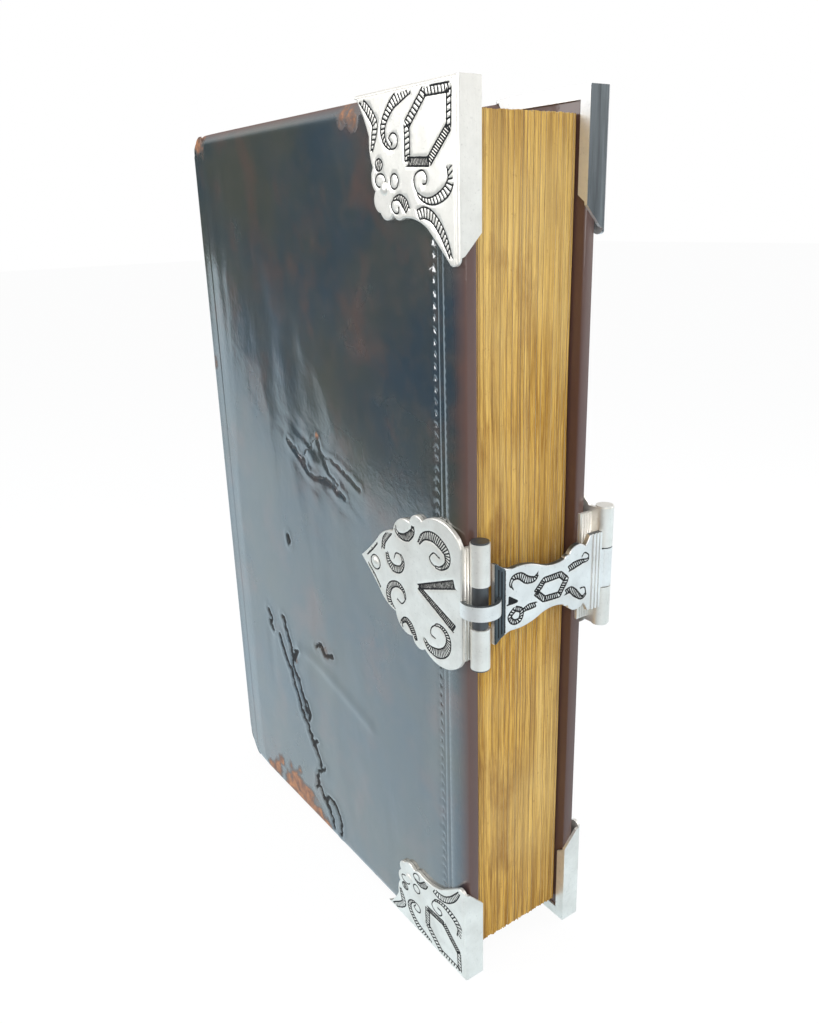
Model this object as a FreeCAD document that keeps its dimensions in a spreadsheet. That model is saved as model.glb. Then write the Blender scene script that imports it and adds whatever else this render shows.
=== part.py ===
import FreeCAD, Part
import math
import os
import Sketcher

# Antique leather prayer book with silver mounts and a hinged silver clasp, in millimetres.
# The book stands on its tail: X runs from the spine to the fore edge, the front cover faces -Y,
# Z is up. The origin is in the middle of the spine's tail, on the surface that the book stands on.

doc = FreeCAD.newDocument("book")
sheet = doc.addObject("Spreadsheet::Sheet", "size")

# Driving dimensions, one cell each
DIMENSIONS = {
    # Covers
    "height": 160.0,
    "cover_width": 96.0,
    "spine_offset": 2.0,
    "cover_thickness": 3.4,
    "leather": 0.5,
    "turn_leather": 0.3,
    "turn_in": 11.0,
    "bevel_width": 3.0,
    "bevel_depth": 1.1,
    "head_corner_radius": 4.0,
    "tail_corner_radius": 8.0,
    "joint_gap": 0.2,
    # Text block and spine
    "block_thickness": 21.8,
    "cover_play": 0.3,
    "head_square": 3.8,
    "fore_square": 2.2,
    "shoulder": 2.2,
    "back_round": 2.4,
    "spine_leather": 1.0,
    "paste_gap": 0.1,
    "headcap": 1.2,
    "band_height": 5.4,
    "band_crown": 2.8,
    "band_rise": 1.7,
    "band_first": 34.0,
    "band_pitch": 30.5,
    "band_count": 4,
    "cord_height": 2.4,
    "cord_rise": 1.0,
    "endband_height": 2.0,
    "endband_width": 1.8,
    # Silver mounts
    "silver": 0.6,
    "mount_lip": 1.5,
    "mount_lip_sheet": 0.4,
    "corner_width": 26.5,
    "front_head_reach": 25.5,
    "front_tail_reach": 21.0,
    "back_head_reach": 22.0,
    "back_tail_reach": 22.5,
    "corner_slope": 4.5,
    "plate_width": 31.0,
    "plate_height": 27.4,
    "plate_fold": 20.6,
    "front_strip": 3.3,
    "back_strip": 3.4,
    "rib": 0.45,
    "rib_rise": 0.3,
    "rib_pitch": 0.8,
    # Clasp
    "clasp_height": 80.0,
    "knuckle_radius": 1.7,
    "knuckle_height": 7.4,
    "knuckle_gap": 7.8,
    "knuckle_play": 0.2,
    "knuckle_seat": 0.15,
    "bar_radius": 1.4,
    "bar_inset": 2.6,
    "pin_radius": 0.8,
    "pin_play": 0.07,
    "pin_head": 0.3,
    "strap": 0.8,
    "strap_offset": 0.5,
    "strap_height": 14.6,
    "strap_play": 0.3,
    "hook_radius": 3.5,
    "hook_sheet": 0.7,
    "hook_height": 2.6,
    "hook_nib": 0.4,
    # Rivets
    "rivet_radius": 1.0,
    "rivet_rise": 0.4,
    "rivet_shank": 0.45,
    "rivet_length": 2.4,
    "rivet_play": 0.05,
}

for row, (name, value) in enumerate(DIMENSIONS.items(), start=1):
    sheet.set(f"A{row}", name)
    sheet.set(f"B{row}", str(value))
    sheet.setAlias(f"B{row}", name)
doc.recompute()


class Size:
    """A number together with the sheet expression that gives it."""

    def __init__(self, value, text):
        self.value = value
        self.text = text

    def join(self, other, sign, value):
        return Size(value, f"({self.text} {sign} {other.text})")

    def __add__(self, other):
        other = as_size(other)
        return self.join(other, "+", self.value + other.value)

    def __sub__(self, other):
        other = as_size(other)
        return self.join(other, "-", self.value - other.value)

    def __mul__(self, other):
        other = as_size(other)
        return self.join(other, "*", self.value * other.value)

    def __truediv__(self, other):
        other = as_size(other)
        return self.join(other, "/", self.value / other.value)

    def __neg__(self):
        return self * -1.0

    __radd__ = __add__
    __rmul__ = __mul__

    def __rsub__(self, other):
        return as_size(other) - self


def as_size(number):
    return number if isinstance(number, Size) else Size(float(number), f"({float(number)})")


def cell(name):
    return Size(float(sheet.get(name)), f"size.{name}")


ZERO = as_size(0)

# Lengths used by several pieces
height = cell("height")
silver = cell("silver")
leather = cell("leather")
cover_inner = cell("block_thickness") / 2 + cell("cover_play")
cover_outer = cover_inner + cell("cover_thickness")
mount_outer = cover_outer + silver
spine_edge = cell("spine_offset")
fore_outer = spine_edge + cell("cover_width")
fore_leather = fore_outer - silver
tail_leather = silver
head_leather = height - silver
joint_x = spine_edge - cell("joint_gap")
spine_side = joint_x - cell("joint_gap")
block_tail = cell("head_square")
block_head = height - cell("head_square")
block_fore = fore_leather - cell("fore_square")
block_half = cell("block_thickness") / 2
shoulder_half = block_half + cell("shoulder")
clasp_z = cell("clasp_height")
knuckle = cell("knuckle_radius")
front_axis_x = fore_outer + knuckle - cell("knuckle_seat")
front_axis_y = -mount_outer + cell("bar_inset")
back_axis_x = front_axis_x
back_axis_y = mount_outer + knuckle - silver

FRONT, BACK = -1, 1
SIDE_NAMES = {FRONT: "front", BACK: "back"}


# Document helpers

def new_body(name):
    body = doc.addObject("PartDesign::Body", name)
    body.Label = name
    if hasattr(body, "AllowCompound"):
        body.AllowCompound = True
    return body


def origin_feature(body, role):
    return next(item for item in body.Origin.OriginFeatures if item.Role == role)


def new_sketch(body, role, offset, label):
    """A sketch on one of the body's origin planes, moved along the plane's normal."""
    sketch = body.newObject("Sketcher::SketchObject", f"{body.Name}_{label}")
    sketch.AttachmentSupport = [(origin_feature(body, role), "")]
    sketch.MapMode = "FlatFace"
    offset = as_size(offset)
    sketch.AttachmentOffset = FreeCAD.Placement(
        FreeCAD.Vector(0, 0, offset.value), FreeCAD.Rotation())
    sketch.setExpression("AttachmentOffset.Base.z", offset.text)
    return sketch


def sketch_y(body, y, label):
    """A sketch in X and Z at one Y. The XZ plane's normal is -Y."""
    return new_sketch(body, "XZ_Plane", -as_size(y), label)


def hold(sketch, geometry, position, x, y):
    """Fixes a point of the sketch at x, y measured from its origin."""
    for kind, axis, number in (("DistanceX", -2, x), ("DistanceY", -1, y)):
        if abs(number.value) < 1e-9:
            sketch.addConstraint(Sketcher.Constraint("PointOnObject", geometry, position, axis))
            continue
        index = sketch.addConstraint(
            Sketcher.Constraint(kind, -1, 1, geometry, position, number.value))
        sketch.setExpression(f"Constraints[{index}]", number.text)


def circle_through(start, via, end):
    arc = Part.Arc(start, via, end).toShape().Curve
    return arc.Center, arc.Radius


def add_segment(sketch, start, via, end):
    """Adds a line or an arc and returns its index and its start and end positions."""
    if via is None:
        return sketch.addGeometry(Part.LineSegment(start, end), False), 1, 2
    center, radius = circle_through(start, via, end)
    turn = (via - start).cross(end - via).z
    first, last = (start, end) if turn > 0 else (end, start)
    angles = [math.atan2(p.y - center.y, p.x - center.x) for p in (first, last)]
    if angles[1] < angles[0]:
        angles[1] += 2 * math.pi
    circle = Part.Circle(center, FreeCAD.Vector(0, 0, 1), radius)
    index = sketch.addGeometry(Part.ArcOfCircle(circle, angles[0], angles[1]), False)
    return (index, 1, 2) if turn > 0 else (index, 2, 1)


def outline(sketch, path):
    """Closes a loop. A corner is (x, y), or (x, y, via_x, via_y) where an arc leaves it."""
    corners = [tuple(as_size(number) for number in corner) for corner in path]
    points = [FreeCAD.Vector(c[0].value, c[1].value, 0) for c in corners]
    segments = []
    for index, corner in enumerate(corners):
        end = points[(index + 1) % len(points)]
        via = FreeCAD.Vector(corner[2].value, corner[3].value, 0) if len(corner) == 4 else None
        segment = add_segment(sketch, points[index], via, end)
        segments.append(segment)
        if via is not None:
            mark = sketch.addGeometry(Part.Point(via), True)
            hold(sketch, mark, 1, corner[2], corner[3])
            sketch.addConstraint(Sketcher.Constraint("PointOnObject", mark, 1, segment[0]))
    for index, (geometry, first, last) in enumerate(segments):
        following, next_first, _ = segments[(index + 1) % len(segments)]
        sketch.addConstraint(
            Sketcher.Constraint("Coincident", geometry, last, following, next_first))
        hold(sketch, geometry, first, corners[index][0], corners[index][1])
    return sketch


def ring(sketch, x, y, radius):
    """Adds a circle held at x, y."""
    x, y, radius = as_size(x), as_size(y), as_size(radius)
    center = FreeCAD.Vector(x.value, y.value, 0)
    index = sketch.addGeometry(
        Part.Circle(center, FreeCAD.Vector(0, 0, 1), radius.value), False)
    hold(sketch, index, 3, x, y)
    size = sketch.addConstraint(Sketcher.Constraint("Radius", index, radius.value))
    sketch.setExpression(f"Constraints[{size}]", radius.text)
    return sketch


def rectangle(sketch, x0, y0, x1, y1):
    return outline(sketch, [(x0, y0), (x1, y0), (x1, y1), (x0, y1)])


def feature(body, kind, sketch, length, towards_normal):
    """A pad or a pocket of one sketch, along its normal or against it."""
    length = as_size(length)
    item = body.newObject(f"PartDesign::{kind}", f"{sketch.Name}_{kind.lower()}")
    item.Profile = sketch
    item.Length = length.value
    item.setExpression("Length", length.text)
    item.Reversed = towards_normal == (kind == "Pocket")
    sketch.Visibility = False
    doc.recompute()
    return item


def pad(body, sketch, length, towards_normal=True):
    return feature(body, "Pad", sketch, length, towards_normal)


def pocket(body, sketch, length, towards_normal=True):
    """Cuts and makes sure that the cut removed something."""
    before = body.Shape.Volume
    item = feature(body, "Pocket", sketch, length, towards_normal)
    if not body.Shape.Volume < before - 1e-6:
        raise RuntimeError(f"{item.Name} removed nothing")
    return item


def loft(body, sketches, kind="AdditiveLoft", ruled=True):
    item = body.newObject(f"PartDesign::{kind}", f"{sketches[0].Name}_loft")
    item.Profile = sketches[0]
    item.Sections = sketches[1:]
    item.Ruled = ruled
    doc.recompute()
    return item


def repeat_up(body, item, count, pitch):
    """Repeats a feature along Z."""
    pattern = body.newObject("PartDesign::LinearPattern", f"{item.Name}_row")
    pattern.Originals = [item]
    pattern.Direction = (origin_feature(body, "Z_Axis"), [""])
    pattern.Length = (pitch * (count - 1)).value
    pattern.setExpression("Length", (pitch * (count - 1)).text)
    pattern.Occurrences = int(count.value)
    pattern.setExpression("Occurrences", count.text)
    body.Tip = pattern
    doc.recompute()
    return pattern


def round_edges(body, radius, wanted, label):
    """Rounds the edges of the body's tip that the test accepts."""
    tip = body.Tip
    names = [f"Edge{n}" for n, edge in enumerate(tip.Shape.Edges, start=1) if wanted(edge)]
    radius = as_size(radius)
    item = body.newObject("PartDesign::Fillet", f"{body.Name}_{label}")
    item.Base = (tip, names)
    item.Radius = radius.value
    item.setExpression("Radius", radius.text)
    doc.recompute()
    return item


# Covers

def cover_outline(sketch, inset):
    """The cover seen from the front, with its two spine corners worn round."""
    left, right = spine_edge + inset, fore_leather - inset
    low, high = tail_leather + inset, head_leather - inset
    tail, head = cell("tail_corner_radius") - inset, cell("head_corner_radius") - inset
    bend = 1 - math.sqrt(0.5)
    return outline(sketch, [
        (left + tail, low),
        (right, low),
        (right, high),
        (left + head, high, left + head * bend, high - head * bend),
        (left, high - head),
        (left, low + tail, left + tail * bend, low + tail * bend),
    ])


def cover_slab(body, side, label, inset, outer, inner, cut=False):
    """A slab from y = inner to y = outer whose outer arrises are bevelled on all four sides."""
    kind = "SubtractiveLoft" if cut else "AdditiveLoft"
    bevel_foot = outer - cell("bevel_depth")
    foot = cover_outline(sketch_y(body, side * bevel_foot, f"{label}_foot"), inset)
    face = bevelled_outline(sketch_y(body, side * outer, f"{label}_face"), inset)
    loft(body, [foot, face], kind)
    flat = cover_outline(sketch_y(body, side * bevel_foot, f"{label}_flat"), inset)
    build = pocket if cut else pad
    build(body, flat, bevel_foot - inner, towards_normal=side == BACK)


def bevelled_outline(sketch, inset):
    """The flat of the outer face, inside the bevel at head, fore edge and tail."""
    width = cell("bevel_width")
    left, right = spine_edge + inset, fore_leather - inset - width
    low, high = tail_leather + inset + width * 0.6, head_leather - inset - width * 0.6
    tail, head = cell("tail_corner_radius") - inset, cell("head_corner_radius") - inset
    bend = 1 - math.sqrt(0.5)
    return outline(sketch, [
        (left + tail, low),
        (right, low),
        (right, high),
        (left + head, high, left + head * bend, high - head * bend),
        (left, high - head),
        (left, low + tail, left + tail * bend, low + tail * bend),
    ])


def rivet_places(side):
    """Rivets of one cover, as x and z: one in each mount's lobe and one in the clasp plate."""
    name = SIDE_NAMES[side]
    head_reach, tail_reach = cell(f"{name}_head_reach"), cell(f"{name}_tail_reach")
    width = cell("corner_width")
    return [
        (fore_outer - width * 0.70, height - head_reach * 0.56),
        (fore_outer - width * 0.70, tail_reach * 0.56),
        (fore_outer - cell("plate_width") * 0.84, clasp_z),
    ]


def rivet_holes(body, side, places, start, depth, label):
    sketch = sketch_y(body, side * start, f"{label}_holes")
    for x, z in places:
        ring(sketch, x, z, cell("rivet_shank") + cell("rivet_play"))
    pocket(body, sketch, depth, towards_normal=side == BACK)


def cover_board(side):
    body = new_body(f"{SIDE_NAMES[side]}_board")
    outer = cover_outer - leather
    cover_slab(body, side, "board", leather, outer, cover_inner + cell("turn_leather"))
    depth = cell("rivet_length") - leather + cell("rivet_play")
    rivet_holes(body, side, rivet_places(side), outer, depth, "rivet")
    return body


def cover_leather(side):
    body = new_body(f"{SIDE_NAMES[side]}_leather")
    cover_slab(body, side, "skin", ZERO, cover_outer, cover_inner)
    board_outer, board_inner = cover_outer - leather, cover_inner + cell("turn_leather")
    cover_slab(body, side, "hollow", leather, board_outer, board_inner, cut=True)
    window = sketch_y(body, side * cover_inner, "window")
    turn = cell("turn_in")
    rectangle(window, spine_edge + turn, tail_leather + turn,
              fore_leather - turn, head_leather - turn)
    pocket(body, window, cell("turn_leather"), towards_normal=side == FRONT)
    rivet_holes(body, side, rivet_places(side), cover_outer, leather, "rivet")
    return body


def pastedown(side):
    body = new_body(f"{SIDE_NAMES[side]}_pastedown")
    turn = cell("turn_in") + cell("rivet_play")
    sketch = sketch_y(body, side * cover_inner, "sheet")
    rectangle(sketch, spine_edge + turn, tail_leather + turn,
              fore_leather - turn, head_leather - turn)
    pad(body, sketch, cell("turn_leather"), towards_normal=side == FRONT)
    return body


# Text block and spine

def back_curve(x, half, rise, fore_x):
    """A flat fore side and a rounded back that stands out by rise at the middle."""
    return [(fore_x, -half), (fore_x, half), (x, half, x - rise, ZERO), (x, -half)]


def text_block():
    body = new_body("text_block")
    sketch = new_sketch(body, "XY_Plane", block_tail, "leaves")
    rise = cell("back_round")
    outline(sketch, [
        (block_fore, -block_half),
        (block_fore, block_half),
        (spine_side, block_half),
        (spine_side, shoulder_half, spine_side - rise, ZERO),
        (spine_side, -shoulder_half),
        (spine_side, -block_half),
    ])
    pad(body, sketch, block_head - block_tail)
    return body


def spine_section(body, z, grow, half, label):
    """The spine's section at one height, with its back raised by grow."""
    rise = cell("back_round") + cell("paste_gap") + cell("spine_leather") + grow
    return outline(new_sketch(body, "XY_Plane", z, label), [
        (spine_side, half, spine_side - rise, ZERO),
        (spine_side, -half),
    ])


def spine_cavity(body, z, top, grow, half, label):
    rise = cell("back_round") + cell("paste_gap") + grow
    sketch = new_sketch(body, "XY_Plane", z, label)
    outline(sketch, [(spine_side, half, spine_side - rise, ZERO), (spine_side, -half)])
    return pocket(body, sketch, top - z, towards_normal=True)


def raised_band(body, middle, half):
    """The first raised band, a flat crown between two slopes, and its repeats up the spine."""
    foot, crown = cell("band_height") / 2, cell("band_crown") / 2
    sunk, rise = -cell("paste_gap"), cell("band_rise")
    levels = [(-foot, sunk), (-crown, rise), (crown, rise), (foot, sunk)]
    sections = [spine_section(body, middle + z, grow, half, f"band{number}")
                for number, (z, grow) in enumerate(levels)]
    repeat_up(body, loft(body, sections), cell("band_count"), cell("band_pitch"))


def spine_cover():
    body = new_body("spine_leather")
    outer_half = shoulder_half + cell("spine_leather")
    pad(body, spine_section(body, ZERO, ZERO, outer_half, "back"), height)
    first = cell("band_first")
    raised_band(body, first, outer_half - cell("spine_leather") * 0.4)
    cap = cell("headcap")
    inner_half = shoulder_half + cell("paste_gap")
    spine_cavity(body, cap, height - cap, ZERO, inner_half, "hollow")
    low = first - cell("cord_height") / 2 - cell("paste_gap")
    high = first + cell("cord_height") / 2 + cell("paste_gap")
    channel = spine_cavity(body, low, high, cell("cord_rise"), inner_half, "channel")
    repeat_up(body, channel, cell("band_count"), cell("band_pitch"))
    return body


def sewing_cords():
    """One cord across the back under each raised band."""
    body = new_body("sewing_cords")
    rise = cell("back_round") + cell("paste_gap") * 0.5
    top = rise + cell("cord_rise")
    z = cell("band_first") - cell("cord_height") / 2
    sketch = new_sketch(body, "XY_Plane", z, "cord")
    outline(sketch, [
        (spine_side, shoulder_half, spine_side - top, ZERO),
        (spine_side, -shoulder_half, spine_side - rise, ZERO),
    ])
    cord = pad(body, sketch, cell("cord_height"))
    repeat_up(body, cord, cell("band_count"), cell("band_pitch"))
    return body


def endband(name, z):
    body = new_body(name)
    rise = cell("back_round")
    wide = cell("endband_width")
    half = block_half - cell("paste_gap")
    sketch = new_sketch(body, "XY_Plane", z, "roll")
    outline(sketch, [
        (spine_side, half, spine_side - rise, ZERO),
        (spine_side, -half),
        (spine_side + wide, -half, spine_side + wide - rise, ZERO),
        (spine_side + wide, half),
    ])
    pad(body, sketch, cell("endband_height"))
    return body


# Corner mounts

# The lobed inner outline of a corner mount, as shares of its width and of its reach along the
# fore edge, from the tip on the head edge to the tip on the fore edge. Four numbers are an arc
# to the next point, through the second pair.
CORNER_LOBES = (
    (1.00, 0.00, 0.905, 0.14),
    (0.855, 0.25, 0.850, 0.36),
    (0.825, 0.43, 0.845, 0.50),
    (0.805, 0.57, 0.820, 0.645),
    (0.755, 0.700, 0.690, 0.745),
    (0.620, 0.715, 0.570, 0.745),
    (0.520, 0.735, 0.395, 0.745),
    (0.275, 0.800, 0.170, 0.900),
    (0.075, 0.995, 0.035, 1.005),
    (0.00, 0.97),
)


def corner_mount(side, end):
    """Face plate, head or tail flange, fore edge flange and the lips on the inner face."""
    name = f"{SIDE_NAMES[side]}_{end}_corner"
    body = new_body(name)
    reach = cell(f"{SIDE_NAMES[side]}_{end}_reach")
    width = cell("corner_width")
    top = height if end == "head" else ZERO
    way = -1 if end == "head" else 1

    def place(u, v):
        return fore_outer - width * u, top + reach * v * way

    path = [place(0.0, 0.0)]
    for lobe in CORNER_LOBES:
        corner = place(lobe[0], lobe[1])
        path.append(corner + place(lobe[2], lobe[3]) if len(lobe) == 4 else corner)
    face = outline(sketch_y(body, side * mount_outer, "face"), path)
    pad(body, face, silver, towards_normal=side == BACK)

    lip_sheet = cell("mount_lip_sheet")
    inner = cover_inner - lip_sheet
    fore = new_sketch(body, "YZ_Plane", fore_leather, "fore")
    short = reach - cell("corner_slope")
    outline(fore, [
        (side * inner, top),
        (side * mount_outer, top),
        (side * mount_outer, top + reach * 0.97 * way),
        (side * (mount_outer - silver * 2), top + reach * 0.95 * way),
        (side * inner, top + short * way),
    ])
    pad(body, fore, silver)

    edge = new_sketch(body, "XY_Plane", height - silver if end == "head" else ZERO, "edge")
    outline(edge, [
        (fore_outer, side * inner),
        (fore_outer, side * mount_outer),
        (fore_outer - width, side * mount_outer),
        (fore_outer - width + silver, side * (mount_outer - silver * 2)),
        (fore_outer - width + cell("corner_slope"), side * inner),
    ])
    pad(body, edge, silver)

    lip = sketch_y(body, side * cover_inner, "lip")
    far = fore_outer - width + cell("corner_slope")
    reach_in = silver + cell("mount_lip")
    outline(lip, [
        (fore_outer, top),
        (fore_outer, top + short * way),
        (fore_outer - reach_in, top + (short - cell("mount_lip")) * way),
        (fore_outer - reach_in, top + reach_in * way),
        (far + cell("mount_lip"), top + reach_in * way),
        (far, top),
    ])
    pad(body, lip, lip_sheet, towards_normal=side == BACK)

    place_of_rivet = rivet_places(side)[0 if end == "head" else 1]
    rivet_holes(body, side, [place_of_rivet], mount_outer, silver, "rivet")

    def outer_arris(edge):
        """The two folds along the outer face."""
        middle = edge.CenterOfMass
        at_face = abs(abs(middle.y) - mount_outer.value) < 1e-3
        at_fore = abs(middle.x - fore_outer.value) < 1e-3 and edge.Length > reach.value / 2
        at_end = abs(middle.z - top.value) < 1e-3 and edge.Length > width.value / 2
        return at_face and (at_fore or at_end)

    round_edges(body, silver * 0.8, outer_arris, "fold")
    return body


# Clasp plates, their knuckles, pins and strap

# The upper half of the leaf shaped clasp plate, as shares of its width and half height, from
# the leaf's tip to the fold.
PLATE_LOBES = (
    (1.000, 0.000, 0.910, 0.160),
    (0.810, 0.370, 0.730, 0.520),
    (0.640, 0.580, 0.590, 0.760),
    (0.470, 0.800, 0.415, 0.930),
    (0.350, 0.890, 0.190, 1.000),
    (0.030, 0.850),
)


def knuckle_heights():
    """The bottom of the lower and of the upper knuckle of a plate."""
    half = cell("knuckle_gap") / 2
    return clasp_z - half - cell("knuckle_height"), clasp_z + half


def tube(body, x, y, low, length, bore, label):
    """A knuckle: a round pad with a bore."""
    outer = ring(new_sketch(body, "XY_Plane", low, label), x, y, knuckle)
    pad(body, outer, length)
    hole = ring(new_sketch(body, "XY_Plane", low, f"{label}_bore"), x, y, bore)
    pocket(body, hole, length, towards_normal=True)


def clasp_plate(side):
    """The leaf plate on the cover, its strip on the fore edge and two knuckles."""
    body = new_body(f"{SIDE_NAMES[side]}_clasp_plate")
    width, half = cell("plate_width"), cell("plate_height") / 2
    fold = cell("plate_fold") / 2

    def place(u, v):
        return fore_outer - width * u, clasp_z + half * v

    path = []
    for lobe in PLATE_LOBES:
        corner = place(lobe[0], lobe[1])
        path.append(corner + place(lobe[2], lobe[3]) if len(lobe) == 4 else corner)
    path.append((fore_outer, clasp_z + fold))
    path.append((fore_outer, clasp_z - fold))
    lower = [place(lobe[0], -lobe[1]) for lobe in PLATE_LOBES]
    vias = [place(lobe[2], -lobe[3]) for lobe in PLATE_LOBES if len(lobe) == 4]
    for index in range(len(PLATE_LOBES) - 1, 0, -1):
        path.append(lower[index] + vias[index - 1])
    face = outline(sketch_y(body, side * mount_outer, "face"), path)
    pad(body, face, silver, towards_normal=side == BACK)

    depth = cell("front_strip") if side == FRONT else cell("back_strip")
    strip = new_sketch(body, "YZ_Plane", fore_leather, "strip")
    rectangle(strip, side * mount_outer, clasp_z - fold,
              side * (mount_outer - depth), clasp_z + fold)
    pad(body, strip, silver)

    axis_x, axis_y = clasp_axis(side)
    low, high = knuckle_heights()
    if side == BACK:
        for z, label in ((low, "lower_tab"), (high, "upper_tab")):
            tab = sketch_y(body, mount_outer, label)
            rectangle(tab, fore_outer - silver, z, axis_x, z + cell("knuckle_height"))
            pad(body, tab, silver, towards_normal=True)
    bore = cell("bar_radius") if side == FRONT else cell("pin_radius")
    for z, label in ((low, "lower"), (high, "upper")):
        tube(body, axis_x, axis_y, z, cell("knuckle_height"), bore, label)
    rivet_holes(body, side, [rivet_places(side)[2]], mount_outer, silver, "rivet")
    return body


def clasp_axis(side):
    return (front_axis_x, front_axis_y) if side == FRONT else (back_axis_x, back_axis_y)


def straight_pin(name, side, radius):
    """A pin through both knuckles of a plate, with its ends riveted over."""
    body = new_body(name)
    axis_x, axis_y = clasp_axis(side)
    low, high = knuckle_heights()
    top = high + cell("knuckle_height")
    shank = ring(new_sketch(body, "XY_Plane", low, "shank"), axis_x, axis_y, radius)
    pad(body, shank, top - low)
    head = cell("pin_head")
    for z, label in ((low - head, "foot"), (top, "top")):
        disc = ring(new_sketch(body, "XY_Plane", z, label), axis_x, axis_y, knuckle - head / 2)
        pad(body, disc, head)
    return body


# The upper half of the strap, from its hook end to its hinge end, as shares of its length and
# of its half height.
STRAP_LOBES = (
    (0.000, 1.000),
    (0.020, 1.000, 0.075, 0.860),
    (0.150, 0.780, 0.290, 0.770),
    (0.400, 0.660, 0.500, 0.560),
    (0.640, 0.600, 0.655, 0.660),
    (0.680, 0.660, 0.760, 0.860),
    (0.840, 0.760, 0.865, 0.860),
    (0.885, 1.000),
    (1.000, 1.000),
)


def clasp_strap():
    """The scalloped strap with its middle knuckle, end bands and hook."""
    body = new_body("clasp_strap")
    play = cell("strap_play")
    first = front_axis_y + knuckle + play
    last = back_axis_y - knuckle - play
    length, half = last - first, cell("strap_height") / 2

    def place(u, v):
        return first + length * u, clasp_z + half * v

    path = []
    for lobe in STRAP_LOBES:
        corner = place(lobe[0], lobe[1])
        path.append(corner + place(lobe[2], lobe[3]) if len(lobe) == 4 else corner)
    count = len(STRAP_LOBES)
    for index in range(count - 1, -1, -1):
        corner = place(STRAP_LOBES[index][0], -STRAP_LOBES[index][1])
        via = STRAP_LOBES[index - 1] if index > 0 and len(STRAP_LOBES[index - 1]) == 4 else None
        path.append(corner + place(via[2], -via[3]) if via else corner)
    inner_x = front_axis_x + cell("strap_offset")
    plate = outline(new_sketch(body, "YZ_Plane", inner_x, "plate"), path)
    pad(body, plate, cell("strap"))

    tongue_half = cell("knuckle_gap") / 2 - cell("knuckle_play")
    tongue = new_sketch(body, "YZ_Plane", inner_x, "tongue")
    rectangle(tongue, last - play, clasp_z - tongue_half, back_axis_y, clasp_z + tongue_half)
    pad(body, tongue, cell("strap"))
    tube(body, back_axis_x, back_axis_y, clasp_z - tongue_half, tongue_half * 2,
         cell("pin_radius") + cell("pin_play"), "knuckle")

    rib, rise = cell("rib"), cell("rib_rise")
    for number in range(3):
        start = last - rib - cell("rib_pitch") * number
        ribs = new_sketch(body, "YZ_Plane", inner_x + cell("strap"), f"rib{number}")
        rectangle(ribs, start, clasp_z - half, start + rib, clasp_z + half)
        pad(body, ribs, rise)

    hook(body, inner_x)
    return body


def hook(body, inner_x):
    """The band that passes round the bar, open towards the leaves."""
    outer = cell("hook_radius")
    inner = outer - cell("hook_sheet")
    x, y = front_axis_x, front_axis_y
    tip, tilt = math.radians(-113), math.radians(72)
    middle = (tip + tilt) / 2
    nib = inner - cell("hook_nib")
    low = clasp_z - cell("hook_height") / 2
    sketch = new_sketch(body, "XY_Plane", low, "hook")

    def polar(radius, angle):
        return x + radius * math.cos(angle), y + radius * math.sin(angle)

    outline(sketch, [
        polar(outer, tip) + polar(outer, middle),
        polar(outer, tilt),
        polar(inner, tilt) + polar(inner, middle),
        polar(inner, tip + 0.2),
        polar(nib, tip + 0.1),
        polar(nib, tip),
    ])
    pad(body, sketch, cell("hook_height"))


def rivets(side):
    """Rivets of one cover with chamfered heads and eight-sided shanks, one solid each."""
    name = f"{SIDE_NAMES[side]}_rivets"
    radius, rise = cell("rivet_radius"), cell("rivet_rise")
    shank, length = cell("rivet_shank"), cell("rivet_length")
    solids = []
    for number, (x, z) in enumerate(rivet_places(side)):
        head = doc.addObject("Part::Cone", f"{name}_head{number}")
        head.setExpression("Radius1", radius.text)
        head.setExpression("Radius2", (radius - rise).text)
        head.setExpression("Height", rise.text)
        stem = doc.addObject("Part::Prism", f"{name}_stem{number}")
        stem.Polygon = 8
        stem.setExpression("Circumradius", shank.text)
        stem.setExpression("Height", (length + silver).text)
        turn = FreeCAD.Rotation(FreeCAD.Vector(0, 0, 1), FreeCAD.Vector(0, side, 0))
        inward = FreeCAD.Rotation(FreeCAD.Vector(0, 0, 1), FreeCAD.Vector(0, -side, 0))
        for item, rotation in ((head, turn), (stem, inward)):
            item.Placement = FreeCAD.Placement(FreeCAD.Vector(0, 0, 0), rotation)
            item.setExpression("Placement.Base.x", x.text)
            item.setExpression("Placement.Base.y", (side * mount_outer).text)
            item.setExpression("Placement.Base.z", z.text)
        rivet = doc.addObject("Part::Fuse", f"{name}_rivet{number}")
        rivet.Base, rivet.Tool = head, stem
        solids.append(rivet)
    group = doc.addObject("Part::Compound", name)
    group.Links = solids
    group.Label = name
    return group


def build():
    nodes = [text_block(), spine_cover(), sewing_cords()]
    nodes.append(endband("headband", block_head))
    nodes.append(endband("tailband", block_tail - cell("endband_height")))
    for side in (FRONT, BACK):
        nodes += [cover_board(side), cover_leather(side), pastedown(side)]
        nodes += [corner_mount(side, "head"), corner_mount(side, "tail")]
        nodes += [clasp_plate(side), rivets(side)]
    nodes.append(straight_pin("catch_bar", FRONT, cell("bar_radius")))
    nodes.append(straight_pin("hinge_pin", BACK, cell("pin_radius")))
    nodes.append(clasp_strap())
    return nodes


def check(nodes):
    doc.recompute()
    for item in doc.Objects:
        for state in item.State:
            if state in ("Invalid", "Error"):
                raise RuntimeError(f"{item.Label} is {state}")
    for node in nodes:
        if node.Shape.isNull() or not node.Shape.isValid() or not node.Shape.Solids:
            raise RuntimeError(f"{node.Label} has no valid shape")


def write(nodes):
    os.makedirs("parts", exist_ok=True)
    for node in nodes:
        node.Shape.exportStep(f"parts/{node.Label}.step")
        box = node.Shape.BoundBox
        print(f"{node.Label}: {len(node.Shape.Solids)} solids, {node.Shape.Volume:.1f} mm3, "
              f"x {box.XMin:.2f}..{box.XMax:.2f} y {box.YMin:.2f}..{box.YMax:.2f} "
              f"z {box.ZMin:.2f}..{box.ZMax:.2f}")


nodes = build()
check(nodes)
write(nodes)
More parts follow.
